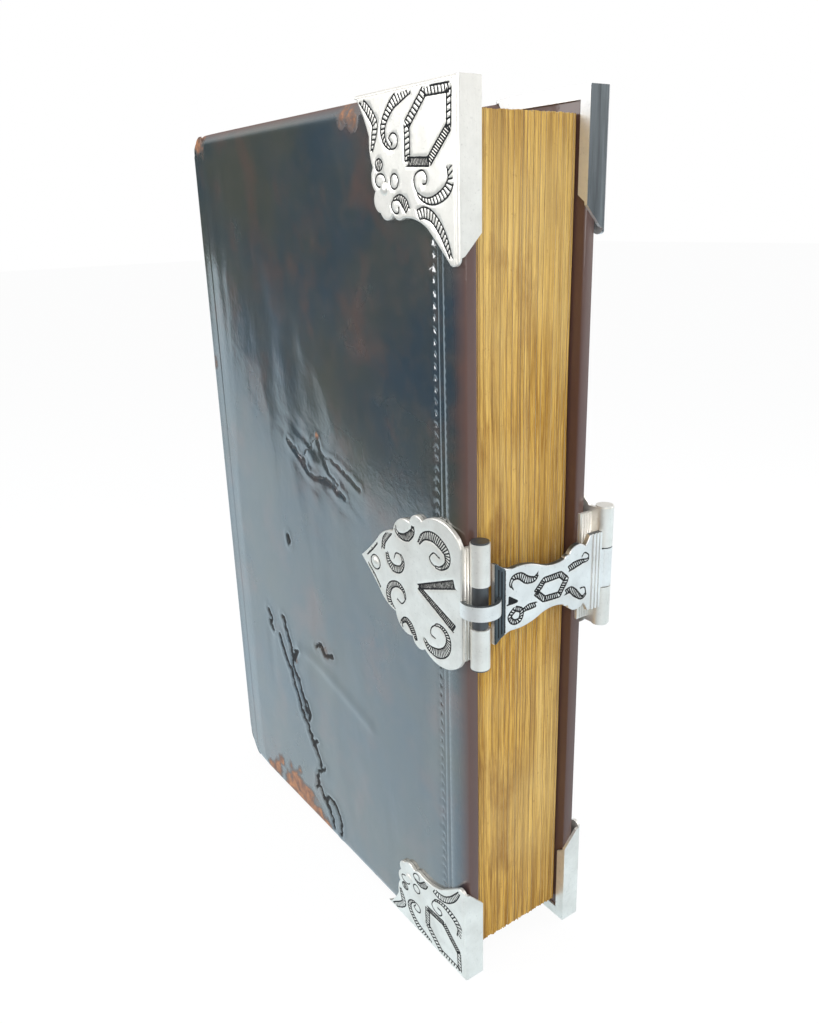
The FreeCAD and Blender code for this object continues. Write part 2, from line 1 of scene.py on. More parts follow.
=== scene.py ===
import math

import bmesh
import bpy
import numpy as np
from mathutils import Matrix, Vector, kdtree, noise
from mathutils.geometry import delaunay_2d_cdt


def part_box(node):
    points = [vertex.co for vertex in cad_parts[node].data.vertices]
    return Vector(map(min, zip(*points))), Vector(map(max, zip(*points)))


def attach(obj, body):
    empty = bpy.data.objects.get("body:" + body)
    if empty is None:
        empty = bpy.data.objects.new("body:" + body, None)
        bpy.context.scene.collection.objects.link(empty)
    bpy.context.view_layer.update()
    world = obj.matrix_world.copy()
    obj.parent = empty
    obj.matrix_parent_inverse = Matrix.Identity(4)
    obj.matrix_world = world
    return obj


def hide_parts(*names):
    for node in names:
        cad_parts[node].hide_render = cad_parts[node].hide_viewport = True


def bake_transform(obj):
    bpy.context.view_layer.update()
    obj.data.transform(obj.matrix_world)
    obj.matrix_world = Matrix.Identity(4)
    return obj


# Antique leather prayer book with engraved silver mounts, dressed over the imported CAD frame.
# Lengths are millimetres until a mesh is made. X runs from the spine to the fore edge, the front
# cover faces -Y and Z is up.

MM = 0.001
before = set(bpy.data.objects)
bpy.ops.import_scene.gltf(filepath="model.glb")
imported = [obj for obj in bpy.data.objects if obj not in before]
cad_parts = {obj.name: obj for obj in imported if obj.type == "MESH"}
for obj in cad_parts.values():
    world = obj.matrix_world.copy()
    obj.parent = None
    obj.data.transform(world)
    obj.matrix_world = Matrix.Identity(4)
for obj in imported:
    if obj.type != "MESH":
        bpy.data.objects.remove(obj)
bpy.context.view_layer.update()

FRONT, BACK = -1, 1
SIDES = {FRONT: "front", BACK: "back"}


def box_mm(node):
    """Lowest and highest corner of a CAD node, in millimetres."""
    low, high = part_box(node)
    return [value / MM for value in low], [value / MM for value in high]


# Sizes read from the frame
leather_low, leather_high = box_mm("back_leather")
block_low, block_high = box_mm("text_block")
mount_high = box_mm("back_head_corner")[1]
spine_high = box_mm("spine_leather")[1]
strap_low, strap_high = box_mm("clasp_strap")

cover_left, cover_right = leather_low[0], leather_high[0]
cover_tail, cover_head = leather_low[2], leather_high[2]
cover_inner, cover_outer = leather_low[1], leather_high[1]
mount_face, fore_outer, book_head = mount_high[1], mount_high[0], mount_high[2]
clasp_z = (strap_low[2] + strap_high[2]) / 2

# Sizes of the looks: the cover's bevelled edges and worn spine corners, the leather turned in,
# and the skin on the silver with its engraved grooves
BEVEL_WIDTH = 3.0
BEVEL_DEPTH = 1.1
HEAD_CORNER = 4.0
TAIL_CORNER = 8.0
TURN_IN = 11.0
SKIN = 0.14
GROOVE = 0.40
GROOVE_DEPTH = 0.12
# Rails of an engraved band close up to one line below the first width and carry rungs above the
# second, both half widths
RAILS_MEET = 0.16
RUNGS_FROM = 0.28
OVAL_SIDES = 24


# Curves in a plane

def smooth(points, step, closed=False):
    """A smooth curve through the points, with points about step apart."""
    points = [np.array(p, float) for p in points]
    count = len(points)
    result = []
    for i in range(count if closed else count - 1):
        if closed:
            a, b, c, d = (points[(i + k) % count] for k in (-1, 0, 1, 2))
        else:
            b, c = points[i], points[i + 1]
            a = points[i - 1] if i else 2 * b - c
            d = points[i + 2] if i + 2 < count else 2 * c - b
        pieces = max(1, math.ceil(np.linalg.norm(c - b) / step))
        for k in range(pieces):
            t = k / pieces
            result.append(0.5 * (2 * b + (c - a) * t + (2 * a - 5 * b + 4 * c - d) * t ** 2
                                 + (3 * b - a - 3 * c + d) * t ** 3))
    if not closed:
        result.append(points[-1])
    return np.array(result)


def straight(points, step):
    """Straight lines through the points, cut into pieces of about step."""
    result = [np.array(points[0], float)]
    for start, end in zip(points[:-1], points[1:]):
        start, end = np.array(start, float), np.array(end, float)
        pieces = max(1, math.ceil(np.linalg.norm(end - start) / step))
        result += [start + (end - start) * (k + 1) / pieces for k in range(pieces)]
    return np.array(result)


def normals(line, closed=False):
    """Unit normals on the left of a line."""
    if closed:
        along = np.roll(line, -1, axis=0) - np.roll(line, 1, axis=0)
    else:
        along = np.gradient(line, axis=0)
    along /= np.maximum(np.linalg.norm(along, axis=1, keepdims=True), 1e-9)
    return np.column_stack([-along[:, 1], along[:, 0]])


def oval(center, across, tall):
    """A closed oval as a line that ends where it starts."""
    angles = [2 * math.pi * k / OVAL_SIDES for k in range(OVAL_SIDES + 1)]
    return np.array([(center[0] + across * math.cos(angle), center[1] + tall * math.sin(angle))
                     for angle in angles])


def ladder(points, widths, rung, slant=0.35, curved=True):
    """An engraved band: two rails with rungs between them. Widths may change from point to point,
    and where the band is narrow its rails close up to one line."""
    line = smooth(points, 0.25) if curved else straight(points, 0.25)
    side = normals(line)
    length = lengths(line)
    knots = np.linspace(0, length[-1], len(np.atleast_1d(widths)))
    half = np.interp(length, knots, np.atleast_1d(widths)) / 2
    left, right = line + side * half[:, None], line - side * half[:, None]
    narrow = half < RAILS_MEET
    left[narrow] = right[narrow] = line[narrow]
    strokes = [left, right]
    for here in np.arange(0, length[-1] + 0.01, rung):
        if np.interp(here, length, half) > RUNGS_FROM:
            there = min(here + slant, length[-1])
            start = [np.interp(here, length, left[:, axis]) for axis in (0, 1)]
            end = [np.interp(there, length, right[:, axis]) for axis in (0, 1)]
            strokes.append(straight([start, end], 0.25))
    return strokes


def lengths(line):
    """How far each point lies along a line."""
    return np.concatenate([[0], np.cumsum(np.linalg.norm(np.diff(line, axis=0), axis=1))])


def inside(points, loop):
    """Which of the points lie in a closed loop."""
    points, loop = np.asarray(points, float), np.asarray(loop, float)
    result = np.zeros(len(points), bool)
    for (x0, y0), (x1, y1) in zip(loop, np.roll(loop, -1, axis=0)):
        if y0 == y1:
            continue
        crosses = (points[:, 1] < y0) != (points[:, 1] < y1)
        at = x0 + (points[:, 1] - y0) / (y1 - y0) * (x1 - x0)
        result ^= crosses & (points[:, 0] < at)
    return result


class Reach:
    """Distance from any point to a set of lines."""

    def __init__(self, lines, step=0.04):
        points = []
        for line in lines:
            if len(line) > 1:
                length = lengths(np.asarray(line, float))
                at = np.linspace(0, length[-1], max(2, int(length[-1] / step)))
                points += list(zip(*(np.interp(at, length, line[:, axis]) for axis in (0, 1))))
        self.tree = kdtree.KDTree(max(1, len(points)))
        for index, point in enumerate(points):
            self.tree.insert((point[0], point[1], 0), index)
        self.tree.balance()
        self.empty = not points

    def __call__(self, points):
        if self.empty:
            return np.full(len(points), 1e3)
        return np.array([self.tree.find((p[0], p[1], 0))[2] for p in points])


# Relief sheets: an outline filled with triangles that follow each engraved or cracked line

def fill_points(loop, spacing, lines):
    """A grid of points in the loop, clear of its edge and of the lines."""
    low, high = loop.min(axis=0), loop.max(axis=0)
    rows = []
    for number, y in enumerate(np.arange(low[1] + spacing / 2, high[1], spacing * 0.866)):
        shift = spacing / 2 if number % 2 else 0.0
        xs = np.arange(low[0] + shift, high[0], spacing)
        rows.append(np.column_stack([xs, np.full(len(xs), y)]))
    grid = np.vstack(rows)
    grid = grid[inside(grid, loop)]
    edge = np.vstack([loop, loop[:1]])
    clear = Reach([edge])(grid) > spacing * 0.45
    if lines:
        clear &= Reach(lines)(grid) > spacing * 0.3
    return grid[clear]


def relief(loop, strokes, width, spacing):
    """Triangles in the loop. Every stroke gets its middle line and two edges."""
    lines = []
    for stroke in strokes:
        side = normals(stroke) * width / 2
        lines += [stroke, stroke + side, stroke - side]
    points, edges = list(loop), [(k, (k + 1) % len(loop)) for k in range(len(loop))]
    within = inside(np.vstack(lines), loop) if lines else []
    seen = 0
    for line in lines:
        keep = within[seen:seen + len(line)]
        seen += len(line)
        first = len(points)
        points += list(line)
        edges += [(first + k, first + k + 1) for k in range(len(line) - 1)
                  if keep[k] and keep[k + 1]]
    points += list(fill_points(loop, spacing, lines))
    flat = [Vector((p[0], p[1])) for p in points]
    vertices, _, faces, sources, _, _ = delaunay_2d_cdt(flat, edges, [], 1, 1e-4)
    border = {}
    for index, source in enumerate(sources):
        for number in source:
            if number < len(loop):
                border[number] = index
    return np.array([tuple(v) for v in vertices]), faces, [border[k] for k in range(len(loop))]


def make_object(name, points, faces, material=None, shade=True):
    """A mesh object at the origin from points in millimetres, its faces turned outwards."""
    mesh = bpy.data.meshes.new(name)
    mesh.from_pydata([tuple(p) for p in np.asarray(points) * MM], [], [list(f) for f in faces])
    work = bmesh.new()
    work.from_mesh(mesh)
    bmesh.ops.recalc_face_normals(work, faces=work.faces)
    work.to_mesh(mesh)
    work.free()
    mesh.polygons.foreach_set("use_smooth", [shade] * len(mesh.polygons))
    mesh.update()
    item = bpy.data.objects.new(name, mesh)
    bpy.context.scene.collection.objects.link(item)
    if material:
        mesh.materials.append(material)
    return item


def tube_faces(count, rings):
    """Faces of a closed solid of rings with count points each: its sides and its two ends."""
    faces = [(r * count + k, r * count + (k + 1) % count,
              (r + 1) * count + (k + 1) % count, (r + 1) * count + k)
             for r in range(rings - 1) for k in range(count)]
    return faces + [tuple(range(count)), tuple(range((rings - 1) * count, rings * count))]


def add_attribute(item, name, values):
    """A named value on each point, for the materials to read. Points beyond the values get 0."""
    attribute = item.data.attributes.new(name, "FLOAT", "POINT")
    full = np.zeros(len(item.data.vertices), np.float32)
    full[:len(values)] = values
    attribute.data.foreach_set("value", full)


def inset_loop(loop, amount):
    """The loop moved inwards. The loop runs anticlockwise."""
    return loop + normals(loop, closed=True) * amount


def anticlockwise(loop):
    """The loop, turned round where it runs clockwise."""
    loop = np.asarray(loop, float)
    x, y = loop[:, 0], loop[:, 1]
    area = np.sum(x * np.roll(y, -1) - y * np.roll(x, -1))
    return loop if area > 0 else loop[::-1]


# Outlines read from the flat faces of CAD nodes

def face_loop(node, axis, value):
    """The largest outline of a node's triangles that lie in one plane, as two coordinates."""
    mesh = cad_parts[node].data
    co = np.array([v.co for v in mesh.vertices]) / MM
    keys = [tuple(np.round(p, 3)) for p in co]
    edges = {}
    for polygon in mesh.polygons:
        corner = [keys[i] for i in polygon.vertices]
        if any(abs(p[axis] - value) > 0.004 for p in corner):
            continue
        for a, b in zip(corner, corner[1:] + corner[:1]):
            if (b, a) in edges:
                del edges[(b, a)]
            else:
                edges[(a, b)] = True
    following = {a: b for a, b in edges}
    loops = []
    while following:
        start, here = next(iter(following.items()))
        loop = [start]
        del following[start]
        while here != start and here in following:
            loop.append(here)
            here = following.pop(here)
        loops.append(loop)
    keep = [k for k in range(3) if k != axis]
    flat = [anticlockwise([[p[keep[0]], p[keep[1]]] for p in loop]) for loop in loops]
    sizes = [np.ptp(loop[:, 0]) * np.ptp(loop[:, 1]) if len(loop) > 2 else 0 for loop in flat]
    return flat[int(np.argmax(sizes))]


def fine_loop(loop, step=0.35):
    """A closed outline with more points along its straight stretches."""
    closed = np.vstack([loop, loop[:1]])
    return straight(closed, step)[:-1]


# Materials

def new_material(name):
    """A material with its node tree and its shader."""
    material = bpy.data.materials.new(name)
    material.use_nodes = True
    tree = material.node_tree
    shader = tree.nodes["Principled BSDF"]
    return material, tree, shader


def put(tree, kind, inputs=None, **settings):
    """Adds a node, sets its properties, and sets or links its inputs."""
    node = tree.nodes.new(kind)
    for key, value in settings.items():
        setattr(node, key, value)
    for key, value in (inputs or {}).items():
        socket = node.inputs[key]
        if isinstance(value, bpy.types.NodeSocket):
            tree.links.new(value, socket)
        else:
            socket.default_value = value
    return node


def place_of(tree, scale=(1, 1, 1), turn=(0, 0, 0)):
    """Object coordinates, stretched by a Mapping node."""
    where = put(tree, "ShaderNodeTexCoord").outputs["Object"]
    return put(tree, "ShaderNodeMapping", {"Vector": where, "Scale": scale,
                                           "Rotation": turn}).outputs["Vector"]


def grain(tree, vector, scale, detail=4.0, rough=0.55):
    """Fractal noise, from 0 to 1."""
    return put(tree, "ShaderNodeTexNoise", {"Vector": vector, "Scale": scale, "Detail": detail,
                                            "Roughness": rough}).outputs["Fac"]


def between(tree, value, low, high, to_low=0.0, to_high=1.0):
    """Takes low to to_low and high to to_high, and holds values beyond them."""
    return put(tree, "ShaderNodeMapRange", {"Value": value, "From Min": low, "From Max": high,
                                            "To Min": to_low, "To Max": to_high}
               ).outputs["Result"]


def sums(tree, operation, a, b=0.0):
    """One step of arithmetic on two values."""
    return put(tree, "ShaderNodeMath", {0: a, 1: b}, operation=operation).outputs[0]


def colours(tree, factor, a, b):
    """The first colour where the factor is 0, the second where it is 1."""
    node = put(tree, "ShaderNodeMix", {"Factor": factor}, data_type="RGBA")
    for socket, value in ((node.inputs[6], a), (node.inputs[7], b)):
        if isinstance(value, bpy.types.NodeSocket):
            tree.links.new(value, socket)
        else:
            socket.default_value = (*value, 1.0)
    return node.outputs[2]


def read(tree, name):
    """The value that add_attribute left on the mesh, or 0 where it has none."""
    return put(tree, "ShaderNodeAttribute", attribute_name=name).outputs["Fac"]


def bumps(tree, height, distance, strength=1.0, under=None):
    """A bumpy surface direction, on top of another one where that is given."""
    inputs = {"Height": height, "Distance": distance, "Strength": strength}
    if under is not None:
        inputs["Normal"] = under
    return put(tree, "ShaderNodeBump", inputs).outputs["Normal"]


def leather_material():
    """Near black polished leather, mottled brown, orange-brown where it is worn through, with painted
    shade in the cracks and tears.
    """
    material, tree, shader = new_material("worn_dark_leather")
    here = place_of(tree)
    patches = between(tree, grain(tree, here, 38, 5), 0.36, 0.66)
    flecks = between(tree, grain(tree, here, 330, 5, 0.65), 0.47, 0.66)
    base = colours(tree, patches, (0.014, 0.028, 0.042), (0.040, 0.040, 0.026))
    red = between(tree, grain(tree, place_of(tree, (1, 1, 0.8)), 75, 4, 0.6), 0.52, 0.70)
    base = colours(tree, sums(tree, "MULTIPLY", red, 0.75), base, (0.085, 0.042, 0.030))
    base = colours(tree, sums(tree, "MULTIPLY", flecks, 0.3), base, (0.070, 0.055, 0.046))
    edge = read(tree, "edge")
    base = colours(tree, sums(tree, "MULTIPLY", edge, 0.85), base, (0.080, 0.026, 0.014))
    scrape = between(tree, grain(tree, here, 240, 7, 0.72), 0.3, 0.7, -0.55, 0.55)
    wear = read(tree, "wear")
    near_wear = between(tree, wear, 0.0, 0.25)
    ragged = sums(tree, "ADD", wear, sums(tree, "MULTIPLY", scrape, near_wear))
    worn = between(tree, ragged, 0.62, 0.95)
    rubbed = between(tree, ragged, 0.28, 0.75)
    base = colours(tree, sums(tree, "MULTIPLY", rubbed, 0.8), base, (0.105, 0.052, 0.030))
    bare = colours(tree, between(tree, grain(tree, here, 420, 5, 0.7), 0.36, 0.62),
                   (0.13, 0.048, 0.020), (0.42, 0.165, 0.052))
    base = colours(tree, sums(tree, "MULTIPLY", worn, 0.92), base, bare)
    # Painted shade: the cracks and tears go near black, from the crack value on the mesh.
    crack = sums(tree, "ADD", read(tree, "crack"),
                 between(tree, grain(tree, here, 700, 4, 0.7), 0.3, 0.7, -0.25, 0.25))
    crack_shade = between(tree, crack, 0.40, 0.75)
    base = colours(tree, sums(tree, "MULTIPLY", crack_shade, 0.85), base, (0.005, 0.004, 0.004))
    tree.links.new(base, shader.inputs["Base Color"])
    smear = between(tree, grain(tree, here, 55, 4), 0.3, 0.7, 0.16, 0.30)
    dry = sums(tree, "MAXIMUM", sums(tree, "MULTIPLY", rubbed, 0.8), crack_shade)
    dry = sums(tree, "MAXIMUM", dry, sums(tree, "MULTIPLY", edge, 0.75))
    tree.links.new(between(tree, dry, 0, 1, smear, 0.75), shader.inputs["Roughness"])
    tree.links.new(between(tree, dry, 0, 1, 0.85, 0.0), shader.inputs["Coat Weight"])
    shader.inputs["Coat Roughness"].default_value = 0.11
    shader.inputs["Coat IOR"].default_value = 2.2
    shader.inputs["IOR"].default_value = 1.6
    bent = bumps(tree, grain(tree, here, 120, 4), 0.0004, 0.18)
    bent = bumps(tree, grain(tree, here, 1300, 3), 0.00008, 0.22, bent)
    bent = bumps(tree, rubbed, 0.0002, 0.20, bent)
    tree.links.new(bent, shader.inputs["Normal"])
    tree.links.new(bent, shader.inputs["Coat Normal"])
    return material


def silver_material(name, bright, patina, rough, painted_shade_side=None):
    """Worn silver with dark oxide left in the cuts, and painted shade in a streaked dark grey on the
    side that faces one axis and where the mesh's value asks for it.
    """
    material, tree, shader = new_material(name)
    here = place_of(tree)
    clouds = between(tree, grain(tree, here, 160, 5, 0.6), 0.35, 0.70)
    base = colours(tree, sums(tree, "MULTIPLY", clouds, 0.38), bright, patina)
    specks = between(tree, grain(tree, here, 1900, 2), 0.62, 0.78)
    base = colours(tree, sums(tree, "MULTIPLY", specks, 0.35), base, patina)
    # Painted shade: streaked dark grey where the mesh's value says and on the side that faces the
    # given axis.
    painted_shade = read(tree, "painted_shade")
    if painted_shade_side:
        axis, amount = painted_shade_side
        facing = put(tree, "ShaderNodeSeparateXYZ",
                     {"Vector": put(tree, "ShaderNodeTexCoord").outputs["Normal"]})
        side = between(tree, facing.outputs[axis], 0.35, 0.8, 0.0, amount)
        painted_shade = sums(tree, "MAXIMUM", painted_shade, side)
    streaks = grain(tree, place_of(tree, (1, 1, 0.06)), 900, 3)
    painted_shade_grey = colours(tree, between(tree, streaks, 0.35, 0.70), (0.030, 0.038, 0.044),
                   (0.115, 0.135, 0.145))
    base = colours(tree, painted_shade, base, painted_shade_grey)
    ragged = sums(tree, "ADD", read(tree, "cut"),
                  between(tree, grain(tree, here, 2600, 2), 0.3, 0.7, -0.12, 0.12))
    black = between(tree, ragged, 0.12, 0.42)
    base = colours(tree, black, base, (0.012, 0.013, 0.014))
    tree.links.new(base, shader.inputs["Base Color"])
    tree.links.new(between(tree, black, 0, 1, 0.76, 0.0), shader.inputs["Metallic"])
    shader.inputs["Specular IOR Level"].default_value = 0.15
    scuffed = between(tree, clouds, 0, 1, rough, rough + 0.14)
    tree.links.new(between(tree, black, 0, 1, scuffed, 0.7), shader.inputs["Roughness"])
    brushed = grain(tree, place_of(tree, (1, 1, 0.08)), 2400, 3)
    bent = bumps(tree, grain(tree, here, 380, 3), 0.0002, 0.18)
    bent = bumps(tree, brushed, 0.00005, 0.2, bent)
    tree.links.new(bent, shader.inputs["Normal"])
    return material


def leaf_material():
    """Old rag paper on its cut edges: ochre, streaked along the leaves, toned and foxed."""
    material, tree, shader = new_material("old_leaf_edges")
    here = place_of(tree)
    sway = grain(tree, place_of(tree, (1, 1, 0.5)), 60, 2)
    shift = put(tree, "ShaderNodeCombineXYZ", {"X": between(tree, sway, 0, 1, -0.0007, 0.0007),
                                               "Y": between(tree, sway, 0, 1, -0.0007, 0.0007)})
    bent = put(tree, "ShaderNodeVectorMath", {0: here, 1: shift.outputs[0]}, operation="ADD")
    along = put(tree, "ShaderNodeMapping", {"Vector": bent.outputs[0], "Scale": (1, 1, 0.03)})
    fine = grain(tree, along.outputs[0], 2300, 5, 0.7)
    broad = grain(tree, along.outputs[0], 520, 3, 0.6)
    base = colours(tree, between(tree, fine, 0.40, 0.60), (0.27, 0.130, 0.018),
                   (0.63, 0.390, 0.085))
    base = colours(tree, between(tree, broad, 0.50, 0.70, 0.0, 0.75), base, (0.20, 0.088, 0.014))
    base = colours(tree, between(tree, broad, 0.46, 0.28, 0.0, 0.55), base, (0.74, 0.54, 0.20))
    tone = read(tree, "tone")
    base = colours(tree, between(tree, tone, 0.10, 0.0, 0.0, 0.8), base, (0.11, 0.045, 0.014))
    pale = between(tree, grain(tree, place_of(tree, (1, 1, 0.8)), 24, 3), 0.42, 0.66, 0.0, 0.45)
    base = colours(tree, pale, base, (0.66, 0.49, 0.20))
    stains = between(tree, grain(tree, place_of(tree, (1, 1, 0.5)), 85, 5, 0.6), 0.57, 0.72)
    base = colours(tree, sums(tree, "MULTIPLY", stains, 0.7), base, (0.18, 0.068, 0.012))
    specks = between(tree, grain(tree, here, 900, 5, 0.75), 0.62, 0.72)
    base = colours(tree, sums(tree, "MULTIPLY", specks, 0.55), base, (0.13, 0.055, 0.018))
    facing = put(tree, "ShaderNodeSeparateXYZ",
                 {"Vector": put(tree, "ShaderNodeTexCoord").outputs["Normal"]})
    page = between(tree, sums(tree, "ABSOLUTE", facing.outputs["Y"]), 0.80, 0.92)
    foxed = between(tree, grain(tree, here, 70, 6, 0.6), 0.42, 0.68)
    base = colours(tree, page, base, colours(tree, foxed, (0.56, 0.43, 0.24), (0.40, 0.26, 0.12)))
    tree.links.new(base, shader.inputs["Base Color"])
    shader.inputs["Roughness"].default_value = 0.85
    shader.inputs["Specular IOR Level"].default_value = 0.15
    tooth = sums(tree, "ADD", fine, sums(tree, "MULTIPLY", grain(tree, here, 1700, 4), 0.5))
    tree.links.new(bumps(tree, tooth, 0.0002, 0.8), shader.inputs["Normal"])
    return material


def plain_material(name, colour, second, rough, scale=300, stretch=(1, 1, 1), bump=0.0001):
    """A matt finish with two tones and a little tooth."""
    material, tree, shader = new_material(name)
    pattern = grain(tree, place_of(tree, stretch), scale, 5, 0.6)
    base = colours(tree, between(tree, pattern, 0.35, 0.68), colour, second)
    tree.links.new(base, shader.inputs["Base Color"])
    shader.inputs["Roughness"].default_value = rough
    tree.links.new(bumps(tree, pattern, bump, 0.6), shader.inputs["Normal"])
    return material


def endband_material():
    """Silk worked round a core, in two faded colours."""
    material, tree, shader = new_material("faded_endband_silk")
    stripe = put(tree, "ShaderNodeTexWave", {"Vector": place_of(tree), "Scale": 190.0,
                                             "Distortion": 1.2, "Detail": 2.0},
                 bands_direction="Y").outputs["Fac"]
    base = colours(tree, between(tree, stripe, 0.4, 0.6), (0.42, 0.30, 0.14), (0.11, 0.05, 0.03))
    tree.links.new(base, shader.inputs["Base Color"])
    shader.inputs["Roughness"].default_value = 0.8
    tree.links.new(bumps(tree, stripe, 0.0003, 0.8), shader.inputs["Normal"])
    return material


LEATHER = leather_material()
BRIGHT = silver_material("worn_bright_silver", (0.88, 0.85, 0.79), (0.42, 0.40, 0.36), 0.36)
# Painted shade: the strap's faces that look up, and the back head mount's faces towards the fore
# edge, turn a streaked dark grey.
STRAP_SILVER = silver_material("strap_silver", (0.87, 0.86, 0.83), (0.40, 0.39, 0.37), 0.32,
                               ("Z", 0.95))
SIDE_SHADED_SILVER = silver_material("silver_with_painted_side_shade", (0.80, 0.80, 0.79), (0.36, 0.37, 0.39), 0.32,
                       ("X", 0.93))
# Painted shade: the catch bar is silver painted near black for the shade between the hinge tubes.
SHADED_BAR_SILVER = silver_material("bar_painted_dark_for_shade", (0.12, 0.125, 0.13), (0.03, 0.03, 0.035), 0.30)
LEAVES = leaf_material()
ENDPAPER = plain_material("foxed_endpaper", (0.62, 0.50, 0.32), (0.45, 0.31, 0.16), 0.9, 120)
BOARD = plain_material("oak_board", (0.16, 0.08, 0.035), (0.08, 0.038, 0.016), 0.7, 260,
                       (1, 1, 0.1))
CORD = plain_material("hemp_cord", (0.45, 0.36, 0.22), (0.26, 0.19, 0.10), 0.9, 900)
ENDBAND = endband_material()


# Leather covers

def cover_loop(inset, step=0.7):
    """The cover's outline, with its two spine corners worn round."""
    left, right = cover_left + inset, cover_right - inset
    low, high = cover_tail + inset, cover_head - inset
    tail, head = TAIL_CORNER - inset, HEAD_CORNER - inset
    curve = []
    for center, radius, start in (((left + head, high - head), head, 90),
                                  ((left + tail, low + tail), tail, 180)):
        steps = max(4, int(radius * 1.6 / step))
        for k in range(steps + 1):
            angle = math.radians(start + 90 * k / steps)
            curve.append((center[0] + radius * math.cos(angle),
                          center[1] + radius * math.sin(angle)))
    curve += [(right, low), (right, high)]
    return fine_loop(np.array(curve), step)


# Cracks of the front cover, from its joint side to its tail
CRACKS = (
    ((28.5, 52.5), (30.0, 49.5), (31.5, 45.5), (32.2, 42.8)),
    ((26.0, 46.5), (28.5, 42.0), (31.0, 39.0), (33.0, 34.5), (34.5, 31.0), (36.0, 28.5)),
    ((34.5, 45.0), (33.0, 43.0), (32.0, 40.5), (34.5, 37.5), (36.5, 33.5), (37.2, 30.0)),
    ((36.0, 28.5), (38.0, 26.0), (39.8, 23.0), (42.2, 20.0), (42.8, 17.5), (41.0, 15.5),
     (41.2, 12.5), (44.0, 9.5), (46.8, 6.2), (46.9, 3.9)),
    ((20.8, 51.4), (22.0, 49.6), (21.4, 47.8), (22.8, 46.4)),
    ((44.2, 50.3), (46.6, 51.2), (48.5, 50.2), (51.4, 50.8)),
    ((32.2, 42.8), (33.8, 44.8), (35.6, 45.2)),
    ((36.5, 33.5), (38.3, 31.4), (38.4, 28.6)),
    ((39.8, 23.0), (41.6, 24.4)),
    ((42.8, 17.5), (44.6, 18.2)),
    ((41.2, 12.5), (39.6, 10.6)),
    ((44.0, 9.5), (46.4, 11.2), (49.6, 9.6), (51.0, 6.0), (50.2, 3.2)),
    ((34.6, 74.5), (34.9, 72.6)),
)
# A long soft fold that runs off from the cracks
FOLD = ((36.0, 46.6), (42.0, 46.6), (50.0, 45.0), (58.0, 43.0), (66.0, 41.0))
# Shallow tears along the creases of the dent, above the clasp's height
TEARS = (
    ((44.5, 95.5), (47.5, 97.5), (50.4, 99.8), (52.0, 96.8), (56.5, 96.0), (62.0, 94.4),
     (66.4, 92.6)),
    ((44.0, 94.5), (46.0, 91.5), (50.5, 91.6), (56.0, 91.0), (60.5, 89.4)),
    ((52.5, 95.6), (54.5, 93.2), (58.0, 91.6)),
    ((38.0, 97.2), (41.0, 95.6), (44.0, 93.0)),
)
# Worn patches of the front cover: x, z, radius and strength. The first two also go on the back.
WEAR = (
    (15.0, 2.4, 3.0, 1.05), (18.5, 4.6, 2.8, 1.10), (21.0, 8.0, 2.0, 1.0), (25.0, 3.4, 3.6, 1.20),
    (29.5, 4.6, 4.6, 1.40), (34.5, 4.0, 4.4, 1.45), (39.5, 2.6, 3.6, 1.30), (44.0, 1.4, 2.8, 1.15),
    (26.0, 9.5, 1.6, 0.8), (31.5, 10.5, 1.5, 0.7), (34.0, 43.0, 1.4, 0.6),
    (56.0, 1.0, 1.6, 0.7), (65.0, 1.0, 1.5, 0.7), (4.5, 157.5, 3.2, 1.0), (11.0, 159.3, 1.8, 0.7),
    (1.8, 109.0, 2.2, 0.9), (1.8, 84.0, 1.6, 0.6), (50.4, 100.2, 0.9, 1.2), (48.2, 50.8, 1.7, 0.60),
    (66.0, 158.2, 2.4, 0.75), (70.0, 157.2, 2.4, 0.85),
)
# The dent in the front cover: its middle, how far it reaches and how it slopes
DENT_X, DENT_Z = 51, 93
DENT_LENGTH, DENT_HEIGHT = 10, 4.6
DENT_SLOPE = 0.35
# Direction in which the dent's fine folds run
FOLD_COS, FOLD_SIN = 0.91, 0.41
# The double fillet and the row of small tool marks beside it, measured from the fore edge
FILLETS = (4.4, 5.6)
TOOL_ROW = 6.7
TOOL_PITCH = 1.9


def ragged(line, amount):
    """A line made uneven, as torn leather is."""
    side = normals(line)
    away = [amount * (noise.noise(Vector((x / 0.9, z / 0.9, 2.0)))
                      + 0.6 * noise.noise(Vector((x / 2.6, z / 2.6, 7.0)))) for x, z in line]
    return line + side * np.array(away)[:, None]


def crumple(points):
    """Fine folds that run down across the dent, within about ten millimetres of it."""
    result = []
    for x, z in points:
        along, across = FOLD_COS * x - FOLD_SIN * z, FOLD_SIN * x + FOLD_COS * z
        near = math.exp(-((x - DENT_X) / DENT_LENGTH) ** 2
                        - ((z + DENT_SLOPE * (x - DENT_X) - DENT_Z) / DENT_HEIGHT) ** 2)
        fold = noise.noise(Vector((along / 8.0, across / 2.2, 4.0)))
        fold += 0.3 * noise.noise(Vector((along / 4.0, across / 1.0, 6.0)))
        result.append(near * (0.40 * fold - 0.18))
    return np.array(result)


def tooling():
    """Two blind lines along the fore edge, and the small tool marks beside them."""
    strokes = []
    for away in FILLETS:
        x = cover_right - away
        strokes.append(straight([(x, cover_tail + 3.0), (x, cover_head - 3.0)], 0.8))
    x = cover_right - TOOL_ROW
    for z in np.arange(cover_tail + 8.0, cover_head - 8.0, TOOL_PITCH):
        strokes.append(straight([(x - 0.45, z), (x, z + 0.55), (x + 0.45, z)], 0.4))
    return strokes


# Heights of a cover's broad hollows, of its upright ripples, of the same beside the spine, and of
# its small unevenness
HOLLOW = 0.34
RIPPLE, SPINE_RIPPLE = 0.06, 0.34
SMALL = 0.04


